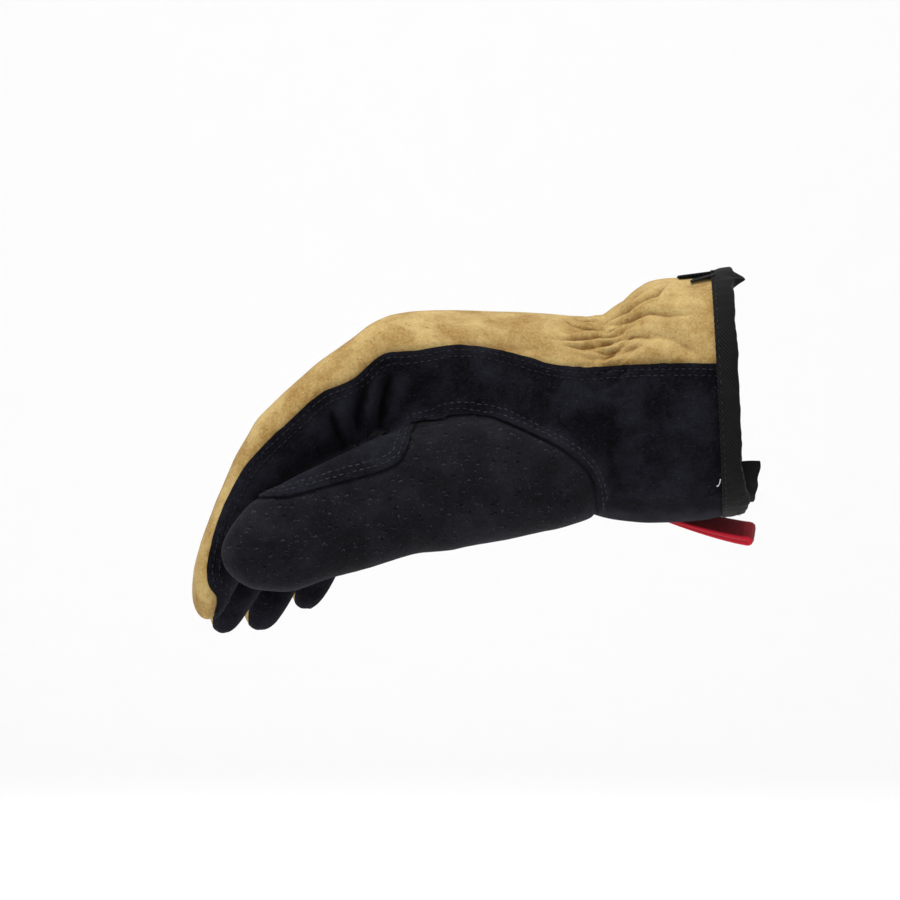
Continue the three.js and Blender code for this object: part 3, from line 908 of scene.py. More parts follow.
@dataclass
class Stitching:
    """Rows of short thread stitches along the lapped seams."""

    pitch: float = 2.35 * MM
    length: float = 0.86 * MM
    thick: float = 0.2 * MM
    lift: float = 0.1 * MM
    near_side: float = -22 * MM
    far_side: float = 28 * MM
    finger_roots: float = -104 * MM
    mesh: bmesh.types.BMesh = field(default_factory=bmesh.new)

    def add_rows(self, skin: Skin, panels: list[Panel], other: Leather, seed: int) -> None:
        """Sews rows through panels along the edge of a neighbour.

        Args:
            skin: The whole glove's surface.
            panels: The panels that lap over the neighbour.
            other: The neighbour.
            seed: The start of the stitches' small differences.
        """
        draw = random.Random(seed)
        for panel in panels:
            for level in panel.rows:
                bm = panel.cut(skin)
                cut = cut_below(bm, f"away_{other.value}", level, keep_below=True)
                edges = [item for item in cut if isinstance(item, bmesh.types.BMEdge)]
                for run in chains(edges):
                    points = [vert.co.copy() for vert in run]
                    normals = [vert.normal.copy() for vert in run]
                    self._sew(resample(points, normals, self.pitch), draw)
                bm.free()

    def _sew(self, line: Line, draw: random.Random) -> None:
        """Sets one stitch at each point of a line, along it, but not between the fingers.

        Args:
            line: The seam's points and normals.
            draw: The source of the stitches' small differences.
        """
        row = bmesh.new()
        for i, (point, normal) in enumerate(line):
            before, after = line[max(i - 1, 0)][0], line[min(i + 1, len(line) - 1)][0]
            on_far_side = point.y > self.far_side and point.x > self.finger_roots
            seen = point.y < self.near_side or on_far_side
            if not seen or (after - before).length < self.pitch:
                continue
            way = (after - before).normalized()
            side = normal.cross(way).normalized()
            way = (way + side * draw.uniform(-0.08, 0.08)).normalized()
            self.add(row, point + normal * self.lift, way, normal, draw.uniform(0.9, 1.08))
        self.join(row)

    def add(
        self, row: bmesh.types.BMesh, point: Vector, way: Vector, normal: Vector, stretch: float
    ) -> None:
        """Adds one stitch to a row.

        Args:
            row: The row's mesh.
            point: The stitch's middle.
            way: The direction that it runs in.
            normal: The direction that its surface faces.
            stretch: Its length, as a share of the usual one.
        """
        turn = Matrix((way, normal.cross(way), normal)).transposed().to_4x4()
        size = Matrix.Diagonal((self.length * stretch, self.thick, self.thick, 1))
        bmesh.ops.create_uvsphere(
            row, u_segments=6, v_segments=4, radius=1, matrix=Matrix.Translation(point) @ turn @ size
        )

    def join(self, row: bmesh.types.BMesh) -> None:
        """Adds a finished row to the rest.

        Args:
            row: The row's mesh, which is freed.
        """
        mesh = bpy.data.meshes.new("row")
        row.to_mesh(mesh)
        row.free()
        self.mesh.from_mesh(mesh)
        bpy.data.meshes.remove(mesh)

    def finish(self, name: str) -> bpy.types.Object:
        """The object of all stitches sewn so far."""
        return object_from(self.mesh, name)


# The cuff


@dataclass
class Binding:
    """Twill folded over the cuff's edge, puckered along its stitches."""

    width: float = 6.4
    cloth: float = 1.0
    over: float = 1.3
    flare: float = 4.3
    flare_at: float = 112.0
    pinched: float = -1.3
    pinch: float = 0.8
    flare_spreads: tuple[float, float] = (5.5, 3.0)
    flare_from: float = 0.4
    kick: tuple[float, float, float] = (1.3, 243.0, 11.0)
    kick_from: float = 0.3
    hollow: tuple[float, float, float] = (0.8, 214.0, 12.0)
    top_bulge: tuple[float, float, float] = (0.55, 93.0, 10.0)
    low_dent: tuple[float, float, float] = (0.65, 266.0, 16.0)
    steps: int = 300
    stitch_line: float = -5.2
    stitch_height: float = 1.12
    stitch_count: int = 100

    def _profile(self) -> list[tuple[float, float]]:
        """The folded cloth's section.

        Returns:
            Pairs of x from the rim and height outside the leather, in millimetres.
        """
        outer, inner = 0.3, -1.8
        edge = self.over
        turn = [
            (edge - 0.5, outer + self.cloth - 0.08),
            (edge - 0.1, outer + self.cloth - 0.5),
            (edge, (outer + inner) / 2),
            (edge - 0.1, inner - self.cloth + 0.5),
            (edge - 0.5, inner - self.cloth + 0.08),
        ]
        face = [
            (-self.width, outer + 0.05),
            (-self.width - 0.05, outer + self.cloth * 0.75),
            (-self.width + 0.3, outer + self.cloth),
            (-self.width + 1.2, outer + self.cloth - 0.22),
            (-self.width + 2.2, outer + self.cloth),
            (-3.0, outer + self.cloth + 0.1),
            (-1.0, outer + self.cloth),
        ]
        back = [(-1.5, inner - self.cloth), (-4.5, inner - self.cloth), (-self.width, inner - self.cloth)]
        close = [(-self.width, inner - 0.05), (-3.0, inner - 0.05), (0.3, inner - 0.05), (0.3, outer)]
        return face + turn + back + close

    def _ripple(self, degrees: float, x: float) -> tuple[float, float]:
        """How the cloth strays from an even band.

        Args:
            degrees: Angle round the cuff.
            x: Place across the cloth, in millimetres from the rim.

        Returns:
            How far it strays along x and outwards, in millimetres.
        """
        spot = Vector((math.cos(math.radians(degrees)), math.sin(math.radians(degrees)), 0))
        share = (x + self.width) / (self.width + self.over)
        wave = 0.9 * noise.noise(spot * 5.0) + 0.35 * noise.noise(spot * 15.0)
        wave += self.flare * self._tip(degrees, x)
        wave += hump(degrees, self.kick) * ramp(share, self.kick_from)
        wave -= hump(degrees, self.hollow) * share
        teeth = 0.09 * math.sin(math.radians(degrees) * 100)
        pucker = 0.2 * noise.noise(spot * 22.0 + Vector((0, 0, share * 2)))
        bulge = hump(degrees, self.top_bulge) * share - hump(degrees, self.low_dent)
        return wave * share + teeth * (1 - share), pucker + bulge

    def _tip(self, degrees: float, x: float) -> float:
        """How much of the cloth's flared point a place has.

        Args:
            degrees: Angle round the cuff.
            x: Place across the cloth, in millimetres from the rim.

        Returns:
            A share up to 1.
        """
        share = (x + self.width) / (self.width + self.over)
        before, after = self.flare_spreads
        spread = before if degrees < self.flare_at else after
        return bell(degrees, self.flare_at, spread) * ramp(share, self.flare_from)

    def build(self) -> bpy.types.Object:
        """Sweeps the folded cloth round the cuff.

        Returns:
            The binding's object, with a map in millimetres round the cuff and across the cloth.
        """
        bm = bmesh.new()
        angles = np.arange(self.steps) * 360 / self.steps
        ring = bmesh.ops.create_circle(bm, segments=self.steps, radius=1)["verts"]
        loop = sorted({edge for vert in ring for edge in vert.link_edges}, key=lambda edge: edge.index)
        profile = self._profile()
        self._shape(ring, angles, profile[0])
        for corner in profile[1:]:
            grown, loop = only_new(bmesh.ops.extrude_edge_only(bm, edges=loop)["geom"])
            self._shape(grown, angles, corner)
        last = set(loop)
        opening = [edge for edge in bm.edges if edge.is_boundary and edge not in last]
        bmesh.ops.bridge_loops(bm, edges=opening + list(last))
        bmesh.ops.recalc_face_normals(bm, faces=bm.faces)
        made = object_from(bm, "cuff_binding_twill")
        self._map(made)
        return made

    def _shape(self, ring: list, angles: np.ndarray, corner: tuple[float, float]) -> None:
        """Sets one ring of the sweep round the cuff.

        Args:
            ring: The ring's vertices.
            angles: The angle of each, in degrees.
            corner: The ring's place in the section.
        """
        for vert, degrees in zip(ring, angles):
            along, out = self._ripple(degrees, corner[0])
            pinch = self.pinch * self._tip(degrees, corner[0])
            out += corner[1] + (self.pinched - corner[1]) * pinch
            vert.co = CUFF.point(corner[0] + along, degrees, out)

    def _map(self, made: bpy.types.Object) -> None:
        """Lays the twill: round the cuff, and across the cloth.

        Args:
            made: The binding's object.
        """
        mesh = made.data
        layer = mesh.uv_layers.new(name="grain").data
        for loop in mesh.loops:
            point = mesh.vertices[loop.vertex_index].co / MM
            arc = math.atan2(point.z / CUFF.up, point.y / CUFF.near) * (CUFF.up + CUFF.near) / 2
            layer[loop.index].uv = (arc, point.x)

    def stitches(self, draw: random.Random) -> bpy.types.Object:
        """The row of thread that holds the binding down.

        Args:
            draw: The source of the stitches' small differences.

        Returns:
            The object of all the stitches.
        """
        sewing = Stitching(length=0.8 * MM, thick=0.17 * MM)
        row = bmesh.new()
        angles = np.linspace(0, 360, self.stitch_count + 1)[:-1]
        points = []
        for degrees in angles:
            along, out = self._ripple(degrees, self.stitch_line)
            points.append(CUFF.point(self.stitch_line + along, degrees, self.stitch_height + out))
        for i, point in enumerate(points):
            way = (points[(i + 1) % len(points)] - points[i - 1]).normalized()
            normal = Vector((0, point.y / CUFF.near**2, point.z / CUFF.up**2)).normalized()
            sewing.add(row, point, way, normal, draw.uniform(0.9, 1.1))
        sewing.join(row)
        return sewing.finish("binding_stitches")


@dataclass
class CuffPlate:
    """A small cloth piece sewn at the cuff: the label inside, or a leaf of the tab outside."""

    name: str
    start: float
    end: float
    near: float
    far: float
    out: float
    cloth: float
    flatness: float = 0.0
    droop: float = 0.0
    slant: float = 0.0
    wavy: float = 0.0

    def build(self) -> bmesh.types.BMesh:
        """The plate's sheet, bowed along its length.

        Returns:
            A bmesh of the sheet, its faces outwards.
        """
        bm = bmesh.new()
        columns, rows = 14, 18
        bmesh.ops.create_grid(bm, x_segments=columns, y_segments=rows, size=0.5)
        for vert in bm.verts:
            along, around = vert.co.x + 0.5, vert.co.y + 0.5
            edge = self.far + self.slant * around + self.wavy * math.sin(around * 16.0) * (1.2 - around)
            x = self.near + (edge - self.near) * along
            degrees = self.start + (self.end - self.start) * around
            wave = (0.25 + self.wavy) * noise.noise(Vector((along * 2, around * 4, self.start)))
            point = CUFF.point(x, degrees, self.out + wave * along)
            level = CUFF.point(x, 90, self.out).z
            point.z += (level - point.z) * self.flatness - self.droop * along * MM
            vert.co = point
        bmesh.ops.recalc_face_normals(bm, faces=bm.faces)
        return bm

    def dress(self, bm: bmesh.types.BMesh) -> bpy.types.Object:
        """Gives a sheet its map, its thickness and soft edges.

        Args:
            bm: The sheet.

        Returns:
            The finished object.
        """
        made = object_from(bm, self.name)
        layer = made.data.uv_layers.new(name="grain").data
        for loop in made.data.loops:
            point = made.data.vertices[loop.vertex_index].co / MM
            layer[loop.index].uv = (point.x, point.y + point.z)
        solidify(made, self.cloth * MM, 0.0)
        bevel = made.modifiers.new("soft_edge", "BEVEL")
        bevel.width = 0.25 * MM
        bevel.segments = 2
        bevel.limit_method = "ANGLE"
        return made


@dataclass
class PullLoop:
    """Ribbed webbing folded into a flat loop under the cuff."""

    width: float = 9.6
    cloth: float = 2.35
    start: float = -26.0
    end: float = 7.0
    sewn: tuple[float, float, float] = (20.0, -40.5, 38.0)
    closed: tuple[float, float, float] = (15.0, -49.3, 36.0)
    skew: float = 0.16
    rib: float = 0.58
    rib_height: float = 0.12
    straight_steps: int = 24
    slope_step: float = 0.3
    pressed: float = 0.08
    thin: float = 0.22
    swelling: float = 0.55
    closing: float = 1.3
    edge_round: float = 0.35
    outer_round: float = 0.5
    inner_round: float = 0.08

    def _route(self) -> list[tuple[float, float]]:
        """The middle line of the webbing, in its own plane.

        Returns:
            Pairs of x and height in millimetres.
        """
        top = []
        for i in range(self.straight_steps + 1):
            x = self.start + (self.end - self.cloth / 2 - self.start) * i / self.straight_steps
            top.append((x, self._thick(x) / 2 - self.pressed))
        x, radius = top[-1]
        turn = [(x + radius * math.cos(a), radius * math.sin(a)) for a in np.radians(range(75, -90, -15))]
        return top + turn + [(x, -z) for x, z in reversed(top)]

    def _thick(self, x: float) -> float:
        """The webbing's thickness, which swells towards the fold."""
        return self.cloth * (self.thin + (1 - self.thin) * self._share(x) ** self.swelling)

    def _share(self, x: float) -> float:
        """How far along the loop a place is, from 0 where it is sewn to 1 at the fold."""
        return min(max((x - self.start) / (self.end - self.start), 0), 1)

    def _placed(self, point: Vector) -> Vector:
        """Moves a point from the loop's own plane to the cuff.

        Args:
            point: The point in the loop's own plane, in millimetres.

        Returns:
            The point in metres.
        """
        t = self._share(point.x)
        share = 1 - (1 - t) ** self.closing
        y, z, roll = (a + (b - a) * share for a, b in zip(self.sewn, self.closed))
        turned = Matrix.Rotation(math.radians(roll), 3, "X") @ point
        turned.x += point.y * self.skew * t
        return (turned + Vector((0, y, z))) * MM

    def _middle(self, s: float, route: list[Vector], lengths: np.ndarray) -> Vector:
        """The point at a length along the route, held at the route's ends."""
        held = min(max(s, 0), lengths[-1])
        return Vector([np.interp(held, lengths, [point[k] for point in route]) for k in range(3)])

    def build(self) -> bpy.types.Object:
        """Sweeps the webbing with its ribs along the route.

        Returns:
            The loop's object, with a map in millimetres along and across the webbing.
        """
        route = [Vector((x, 0, z)) for x, z in self._route()]
        lengths = np.concatenate([[0], np.cumsum([(b - a).length for a, b in zip(route, route[1:])])])
        steps = int(lengths[-1] / (self.rib / 4))
        bm = bmesh.new()
        ring = bmesh.ops.create_circle(bm, segments=20, radius=1)["verts"]
        corners = [(vert.co.x, vert.co.y) for vert in ring]
        edges = list({edge for vert in ring for edge in vert.link_edges})
        placed = []
        for i in range(steps + 1):
            s = lengths[-1] * i / steps
            middle = self._middle(s, route, lengths)
            ahead = self._middle(s + self.slope_step, route, lengths)
            behind = self._middle(s - self.slope_step, route, lengths)
            along = (ahead - behind).normalized()
            up = Vector((-along.z, 0, along.x))
            if i:
                ring, edges = only_new(bmesh.ops.extrude_edge_only(bm, edges=edges)["geom"])
            swell = self.rib_height * math.cos(2 * math.pi * s / self.rib)
            half = self._thick(middle.x) / 2 - self.rib_height + swell
            for vert, (c, d) in zip(ring, corners):
                across = math.copysign(abs(c) ** self.edge_round, c) * (self.width / 2)
                roundness = self.outer_round if d > 0 else self.inner_round
                depth = math.copysign(abs(d) ** roundness, d) * half
                placed.append((vert, s, across))
                vert.co = self._placed(middle + Vector((0, across, 0)) + up * depth)
        bmesh.ops.holes_fill(bm, edges=[edge for edge in bm.edges if edge.is_boundary], sides=0)
        bmesh.ops.recalc_face_normals(bm, faces=bm.faces)
        bm.verts.index_update()
        flat = {vert.index: (s, across) for vert, s, across in placed}
        made = object_from(bm, "pull_loop_webbing")
        layer = made.data.uv_layers.new(name="grain").data
        for loop in made.data.loops:
            layer[loop.index].uv = flat[loop.vertex_index]
        return made


@dataclass
class LooseThreads:
    """Short thread ends that stick out of the binding's lower corner, and a pale speck of lint."""

    count: int = 9
    thick: float = 0.11
    corner: tuple[float, float] = (244, 262)
    hang: Rows = ((-0.6, 1.4), (-0.6, 0.3), (-1.6, -0.7))
    lint_spots: Rows = ((-6.9, 220.5), (-7.1, 222.0), (-7.4, 223.6), (-7.9, 224.6), (-8.3, 224.2))

    def build(self) -> bpy.types.Object:
        """Lets thin tapered ends hang from the binding.

        Returns:
            The threads' object.
        """
        draw = random.Random(7)
        bm = bmesh.new()
        for _ in range(self.count):
            degrees = draw.uniform(*self.corner)
            root = CUFF.point(draw.uniform(-3, 1.2), degrees, 0.5)
            tip = root + Vector([draw.uniform(low, high) for low, high in self.hang]) * MM
            self._thread(bm, root, tip, draw)
        return object_from(bm, "loose_threads")

    def lint(self) -> bpy.types.Object:
        """Lays the pale speck of thread that is caught beside the binding.

        Returns:
            The speck's object.
        """
        bm = bmesh.new()
        draw = random.Random(5)
        points = [CUFF.point(x, degrees, 1.0) for x, degrees in self.lint_spots]
        for root, tip in zip(points, points[1:]):
            self._thread(bm, root, tip, draw)
        return object_from(bm, "pale_lint")

    def _thread(self, bm: bmesh.types.BMesh, root: Vector, tip: Vector, draw: random.Random) -> None:
        """Adds one thread.

        Args:
            bm: The mesh that it joins.
            root: Its thick end.
            tip: Its thin end.
            draw: The source of its thickness.
        """
        way = tip - root
        middle = (root + tip) / 2
        turn = way.to_track_quat("Z", "Y").to_matrix().to_4x4()
        bmesh.ops.create_cone(
            bm,
            cap_ends=True,
            segments=6,
            radius1=self.thick * MM * draw.uniform(0.9, 1.6),
            radius2=self.thick * MM * 0.5,
            depth=way.length,
            matrix=Matrix.Translation(middle) @ turn,
        )


# Finishes


class Pen:
    """Draws the nodes of one procedural material."""

    def __init__(self, name: str) -> None:
        """Starts an empty material with a shader and an output.

        Args:
            name: The material's name.
        """
        self.material = bpy.data.materials.new(name)
        self.material.use_nodes = True
        self.tree = self.material.node_tree
        self.tree.nodes.clear()
        self.shader = self.tree.nodes.new("ShaderNodeBsdfPrincipled")
        output = self.tree.nodes.new("ShaderNodeOutputMaterial")
        self.join(self.shader.outputs["BSDF"], output.inputs["Surface"])

    def join(self, source: bpy.types.NodeSocket, target: bpy.types.NodeSocket) -> None:
        """Links two sockets."""
        self.tree.links.new(source, target)

    def feed(self, target: bpy.types.NodeSocket, value: object) -> None:
        """Sets an input.

        Args:
            target: The input.
            value: A socket to link, or a constant.
        """
        if isinstance(value, bpy.types.NodeSocket):
            self.join(value, target)
        else:
            target.default_value = value

    def place(self, kind: str = "Object") -> bpy.types.NodeSocket:
        """The surface's own coordinates in millimetres.

        Args:
            kind: Object, or UV for the flattened map.

        Returns:
            The coordinates.
        """
        made = self.tree.nodes.new("ShaderNodeTexCoord").outputs[kind]
        if kind == "UV":
            return made
        scale = self.tree.nodes.new("ShaderNodeVectorMath")
        scale.operation = "SCALE"
        scale.inputs["Scale"].default_value = 1 / MM
        self.join(made, scale.inputs[0])
        return scale.outputs[0]

    def noise(
        self, where: bpy.types.NodeSocket, size: float, detail: float = 2.0, rough: float = 0.5
    ) -> bpy.types.NodeSocket:
        """Noise that follows the surface.

        Args:
            where: The coordinates.
            size: The size of its features in millimetres.
            detail: How many finer layers it has.
            rough: How strong the finer layers are.

        Returns:
            Values about 0.5.
        """
        node = self.tree.nodes.new("ShaderNodeTexNoise")
        self.join(where, node.inputs["Vector"])
        node.inputs["Scale"].default_value = 1 / size
        node.inputs["Detail"].default_value = detail
        node.inputs["Roughness"].default_value = rough
        return node.outputs["Fac"]

    def moved(
        self, where: bpy.types.NodeSocket, turn: float = 0.0, shift: tuple = (0.0, 0.0, 0.0)
    ) -> bpy.types.NodeSocket:
        """Coordinates turned about Z, then shifted.

        Args:
            where: The coordinates.
            turn: The angle in degrees.
            shift: The shift in millimetres.

        Returns:
            The new coordinates.
        """
        node = self.tree.nodes.new("ShaderNodeMapping")
        self.join(where, node.inputs["Vector"])
        node.inputs["Location"].default_value = shift
        node.inputs["Rotation"].default_value = (0, 0, math.radians(turn))
        return node.outputs["Vector"]

    def math(self, kind: str, a: object, b: object = 0.0) -> bpy.types.NodeSocket:
        """One step of arithmetic.

        Args:
            kind: The Math node's operation.
            a: The first value, a socket or a number.
            b: The second value.

        Returns:
            The result.
        """
        node = self.tree.nodes.new("ShaderNodeMath")
        node.operation = kind
        self.feed(node.inputs[0], a)
        self.feed(node.inputs[1], b)
        return node.outputs[0]

    def step(
        self, value: bpy.types.NodeSocket, low: float, high: float, to_low: float = 0.0, to_high: float = 1.0
    ) -> bpy.types.NodeSocket:
        """A value mapped smoothly from one range to another.

        Args:
            value: The value.
            low: Where the step starts.
            high: Where it ends, which may lie below its start.
            to_low: The result at its start.
            to_high: The result at its end.

        Returns:
            The mapped value.
        """
        node = self.tree.nodes.new("ShaderNodeMapRange")
        node.interpolation_type = "SMOOTHSTEP"
        self.join(value, node.inputs["Value"])
        for name, number in zip(("From Min", "From Max", "To Min", "To Max"), (low, high, to_low, to_high)):
            node.inputs[name].default_value = number
        return node.outputs["Result"]

    def mix(self, share: object, a: object, b: object) -> bpy.types.NodeSocket:
        """Two colours mixed.

        Args:
            share: How much of the second colour shows.
            a: The first colour, a socket or a constant.
            b: The second colour.

        Returns:
            The mixed colour.
        """
        node = self.tree.nodes.new("ShaderNodeMix")
        node.data_type = "RGBA"
        self.feed(node.inputs[0], share)
        self.feed(node.inputs[6], a)
        self.feed(node.inputs[7], b)
        return node.outputs[2]

    def field(self, name: str) -> bpy.types.NodeSocket:
        """One of the piece's own vertex fields.

        Args:
            name: The field's name.

        Returns:
            Its value.
        """
        node = self.tree.nodes.new("ShaderNodeAttribute")
        node.attribute_name = name
        return node.outputs["Fac"]

    def bump(self, height: bpy.types.NodeSocket, depth: float) -> None:
        """Adds relief to the shader's normal, on top of what it has.

        Args:
            height: The relief, from 0 to 1.
            depth: Its depth in millimetres.
        """
        node = self.tree.nodes.new("ShaderNodeBump")
        node.inputs["Strength"].default_value = 1.0
        node.inputs["Distance"].default_value = depth * MM
        self.join(height, node.inputs["Height"])
        if self.shader.inputs["Normal"].is_linked:
            self.join(self.shader.inputs["Normal"].links[0].from_socket, node.inputs["Normal"])
        self.join(node.outputs["Normal"], self.shader.inputs["Normal"])

    def pricks(
        self, where: bpy.types.NodeSocket, cell: float, size: float, gap: float
    ) -> bpy.types.NodeSocket:
        """Clusters of three pores on a flattened map.

        Args:
            where: The flattened coordinates, in millimetres.
            cell: The spacing of the clusters.
            size: The radius of a pore.
            gap: The distance between the pores of a cluster.

        Returns:
            1 in a pore and 0 between them.
        """
        node = self.tree.nodes.new("ShaderNodeTexVoronoi")
        node.voronoi_dimensions = "2D"
        node.feature = "F1"
        self.join(where, node.inputs["Vector"])
        node.inputs["Scale"].default_value = 1 / cell
        node.inputs["Randomness"].default_value = 1.0
        local = self.tree.nodes.new("ShaderNodeVectorMath")
        local.operation = "SUBTRACT"
        self.join(where, local.inputs[0])
        self.join(node.outputs["Position"], local.inputs[1])
        nearest = None
        for spot in ((-gap, 0.0, 0.0), (gap, gap * 0.2, 0.0), (gap * 0.1, gap * 0.9, 0.0)):
            away = self.tree.nodes.new("ShaderNodeVectorMath")
            away.operation = "DISTANCE"
            self.join(local.outputs[0], away.inputs[0])
            away.inputs[1].default_value = spot
            value = away.outputs["Value"]
            nearest = value if nearest is None else self.math("MINIMUM", nearest, value)
        return self.step(nearest, size * 0.5, size * 1.3, 1.0, 0.0)


Colour = tuple[float, float, float, float]


def srgb(red: int, green: int, blue: int) -> Colour:
    """A colour given as it looks on a screen.

    Args:
        red: The red part, up to 255.
        green: The green part.
        blue: The blue part.

    Returns:
        The shader's linear values.
    """
    parts = [value / 255 for value in (red, green, blue)]
    linear = [part / 12.92 if part <= 0.04045 else ((part + 0.055) / 1.055) ** 2.4 for part in parts]
    return (*linear, 1.0)


@dataclass(frozen=True)
class Suede:
    """Napped split leather with a mottled colour, short fibres and pores, painted shade in its creases and
    painted highlights on its fold crests and beside its pores.
    """

    name: str
    dark: Colour
    middle: Colour
    light: Colour
    pore: Colour
    # fold: the painted shade colour of the creases
    fold: Colour
    # lint: the pale specks' own colour, also used for the painted highlight beside each pore
    lint: Colour
    pore_share: float = 0.5
    pore_cell: float = 4.4
    pore_size: float = 0.26
    pore_gap: float = 0.42
    lint_share: float = 0.3
    # Share of the painted highlight beside each pore
    pore_highlight_share: float = 0.25
    gloss: float = 0.08
    fuzz: float = 0.35
    fuzz_tint: Colour = (1, 1, 1, 1)
    rough: float = 0.92
    nap: float = 0.16

    def material(self) -> bpy.types.Material:
        """Mottles the colour, pricks the pores, raises the nap, and paints highlights beside the pores and
        on the fold crests and shade into the creases.

        Returns:
            The finished material.
        """
        pen = Pen(self.name)
        where = pen.place()
        flat = pen.place("UV")
        blotch = pen.step(pen.noise(where, 14, 4, 0.6), 0.36, 0.64)
        speckle = pen.noise(where, 0.9, 4, 0.75)
        cloud = pen.step(pen.noise(where, 4.5, 3, 0.6), 0.38, 0.62)
        colour = pen.mix(blotch, self.dark, self.light)
        colour = pen.mix(pen.math("MULTIPLY", cloud, 0.55), colour, self.middle)
        colour = pen.mix(pen.step(speckle, 0.44, 0.62, 0.0, 0.38), colour, self.light)
        colour = pen.mix(pen.step(speckle, 0.5, 0.34, 0.0, 0.42), colour, self.dark)
        specks = pen.step(pen.noise(where, 0.7, 1, 0.5), 0.7, 0.76)
        colour = pen.mix(pen.math("MULTIPLY", specks, self.lint_share), colour, self.lint)
        pores = pen.pricks(flat, self.pore_cell, self.pore_size, self.pore_gap)
        faded = pen.math("MULTIPLY", pores, pen.step(pen.noise(where, 9, 2), 0.38, 0.6, 0.25, 1.0))
        # Painted highlight: a smaller copy of the pores, shifted to one side of each, in the lint colour
        lifted = pen.moved(flat, shift=(0.12, 0.3, 0.0))
        pore_highlights = pen.pricks(lifted, self.pore_cell, self.pore_size * 0.6, self.pore_gap)
        pore_highlights = pen.math("MULTIPLY", pore_highlights, pen.step(pen.noise(where, 4, 2), 0.42, 0.62, 0.15, 1.0))
        colour = pen.mix(pen.math("MULTIPLY", pore_highlights, self.pore_highlight_share), colour, self.lint)
        colour = pen.mix(pen.math("MULTIPLY", faded, self.pore_share), colour, self.pore)
        # Painted highlight on the fold crests, then painted shade in the creases
        colour = pen.mix(pen.math("MULTIPLY", pen.field("painted_crest_highlight"), 0.4), colour, self.light)
        colour = pen.mix(pen.math("MULTIPLY", pen.field("painted_crease_shade"), 0.85), colour, self.fold)
        pen.join(colour, pen.shader.inputs["Base Color"])
        pen.shader.inputs["Roughness"].default_value = self.rough
        pen.shader.inputs["Specular IOR Level"].default_value = self.gloss
        pen.shader.inputs["Sheen Weight"].default_value = self.fuzz
        pen.shader.inputs["Sheen Roughness"].default_value = 0.45
        pen.shader.inputs["Sheen Tint"].default_value = self.fuzz_tint
        pen.bump(pen.noise(where, 0.55, 5, 0.8), self.nap)
        pen.bump(pen.noise(where, 3.2, 3, 0.6), 0.22)
        pen.bump(pen.math("SUBTRACT", 1.0, faded), 0.14)
        return pen.material


@dataclass(frozen=True)
class Twill:
    """Woven cloth with slanted ribs, or plain webbing with straight ones."""

    name: str
    dark: Colour
    light: Colour
    rib: float
    slant: float
    relief: float
    fuzz: float = 0.04
    rough: float = 0.8
    gloss: float = 0.12
    # edge: the colour of a painted highlight along the band's edges, if any
    edge: Colour | None = None
    edge_highlight_from: float = 4.0

    def material(self) -> bpy.types.Material:
        """Weaves the ribs, with fibre over them and a painted highlight along the edges if there is one.

        Returns:
            The finished material.
        """
        pen = Pen(self.name)
        where = pen.place()
        turned = pen.moved(pen.place("UV"), self.slant)
        wave = pen.tree.nodes.new("ShaderNodeTexWave")
        wave.wave_type = "BANDS"
        wave.bands_direction = "X"
        pen.join(turned, wave.inputs["Vector"])
        wave.inputs["Scale"].default_value = math.tau / 20 / self.rib
        wave.inputs["Distortion"].default_value = 0.35
        wave.inputs["Detail"].default_value = 1.0
        ribs = wave.outputs["Fac"]
        fibre = pen.noise(where, 0.35, 3, 0.7)
        shade = pen.math("ADD", pen.math("MULTIPLY", ribs, 0.55), pen.math("MULTIPLY", fibre, 0.6))
        colour = pen.mix(pen.step(shade, 0.3, 0.85), self.dark, self.light)
        colour = pen.mix(pen.step(pen.noise(where, 6, 3), 0.4, 0.65, 0.0, 0.3), colour, self.light)
        # Painted highlight: the band is lighter towards its edges, where they catch the light
        if self.edge is not None:
            parts = pen.tree.nodes.new("ShaderNodeSeparateXYZ")
            pen.join(pen.place("UV"), parts.inputs[0])
            across = pen.math("ABSOLUTE", parts.outputs["Y"])
            colour = pen.mix(pen.step(across, self.edge_highlight_from, self.edge_highlight_from + 0.5), colour, self.edge)
        pen.join(colour, pen.shader.inputs["Base Color"])
        pen.shader.inputs["Roughness"].default_value = self.rough
        pen.shader.inputs["Specular IOR Level"].default_value = self.gloss
        pen.shader.inputs["Sheen Weight"].default_value = self.fuzz
        pen.shader.inputs["Sheen Roughness"].default_value = 0.4
        pen.bump(ribs, self.relief)
        pen.bump(fibre, 0.06)
        return pen.material


@dataclass(frozen=True)
class Thread:
    """Twisted sewing thread."""

    name: str
    dark: Colour
    light: Colour

    def material(self) -> bpy.types.Material:
        """Shades the thread along its length.

        Returns:
            The finished material.
        """
        pen = Pen(self.name)
        where = pen.place()
        colour = pen.mix(pen.step(pen.noise(where, 2.2, 3), 0.35, 0.65), self.dark, self.light)
        pen.join(colour, pen.shader.inputs["Base Color"])
        pen.shader.inputs["Roughness"].default_value = 0.6
        pen.shader.inputs["Specular IOR Level"].default_value = 0.15
        pen.bump(pen.noise(where, 0.25, 2), 0.05)
        return pen.material


@dataclass(frozen=True)
class Backdrop:
    """The pale floor that runs up into a wall behind the glove."""

    name: str = "pale_floor"
    colour: Colour = (0.96, 0.96, 0.96, 1.0)

    def material(self) -> bpy.types.Material:
        """Makes it evenly pale, with the faintest grain.

        Returns:
            The finished material.
        """
        pen = Pen(self.name)
        grain = pen.noise(pen.place(), 30, 2)
        low = tuple(value * 0.985 for value in self.colour[:3]) + (1.0,)
        pen.join(pen.mix(grain, low, self.colour), pen.shader.inputs["Base Color"])
        pen.shader.inputs["Roughness"].default_value = 0.9
        return pen.material


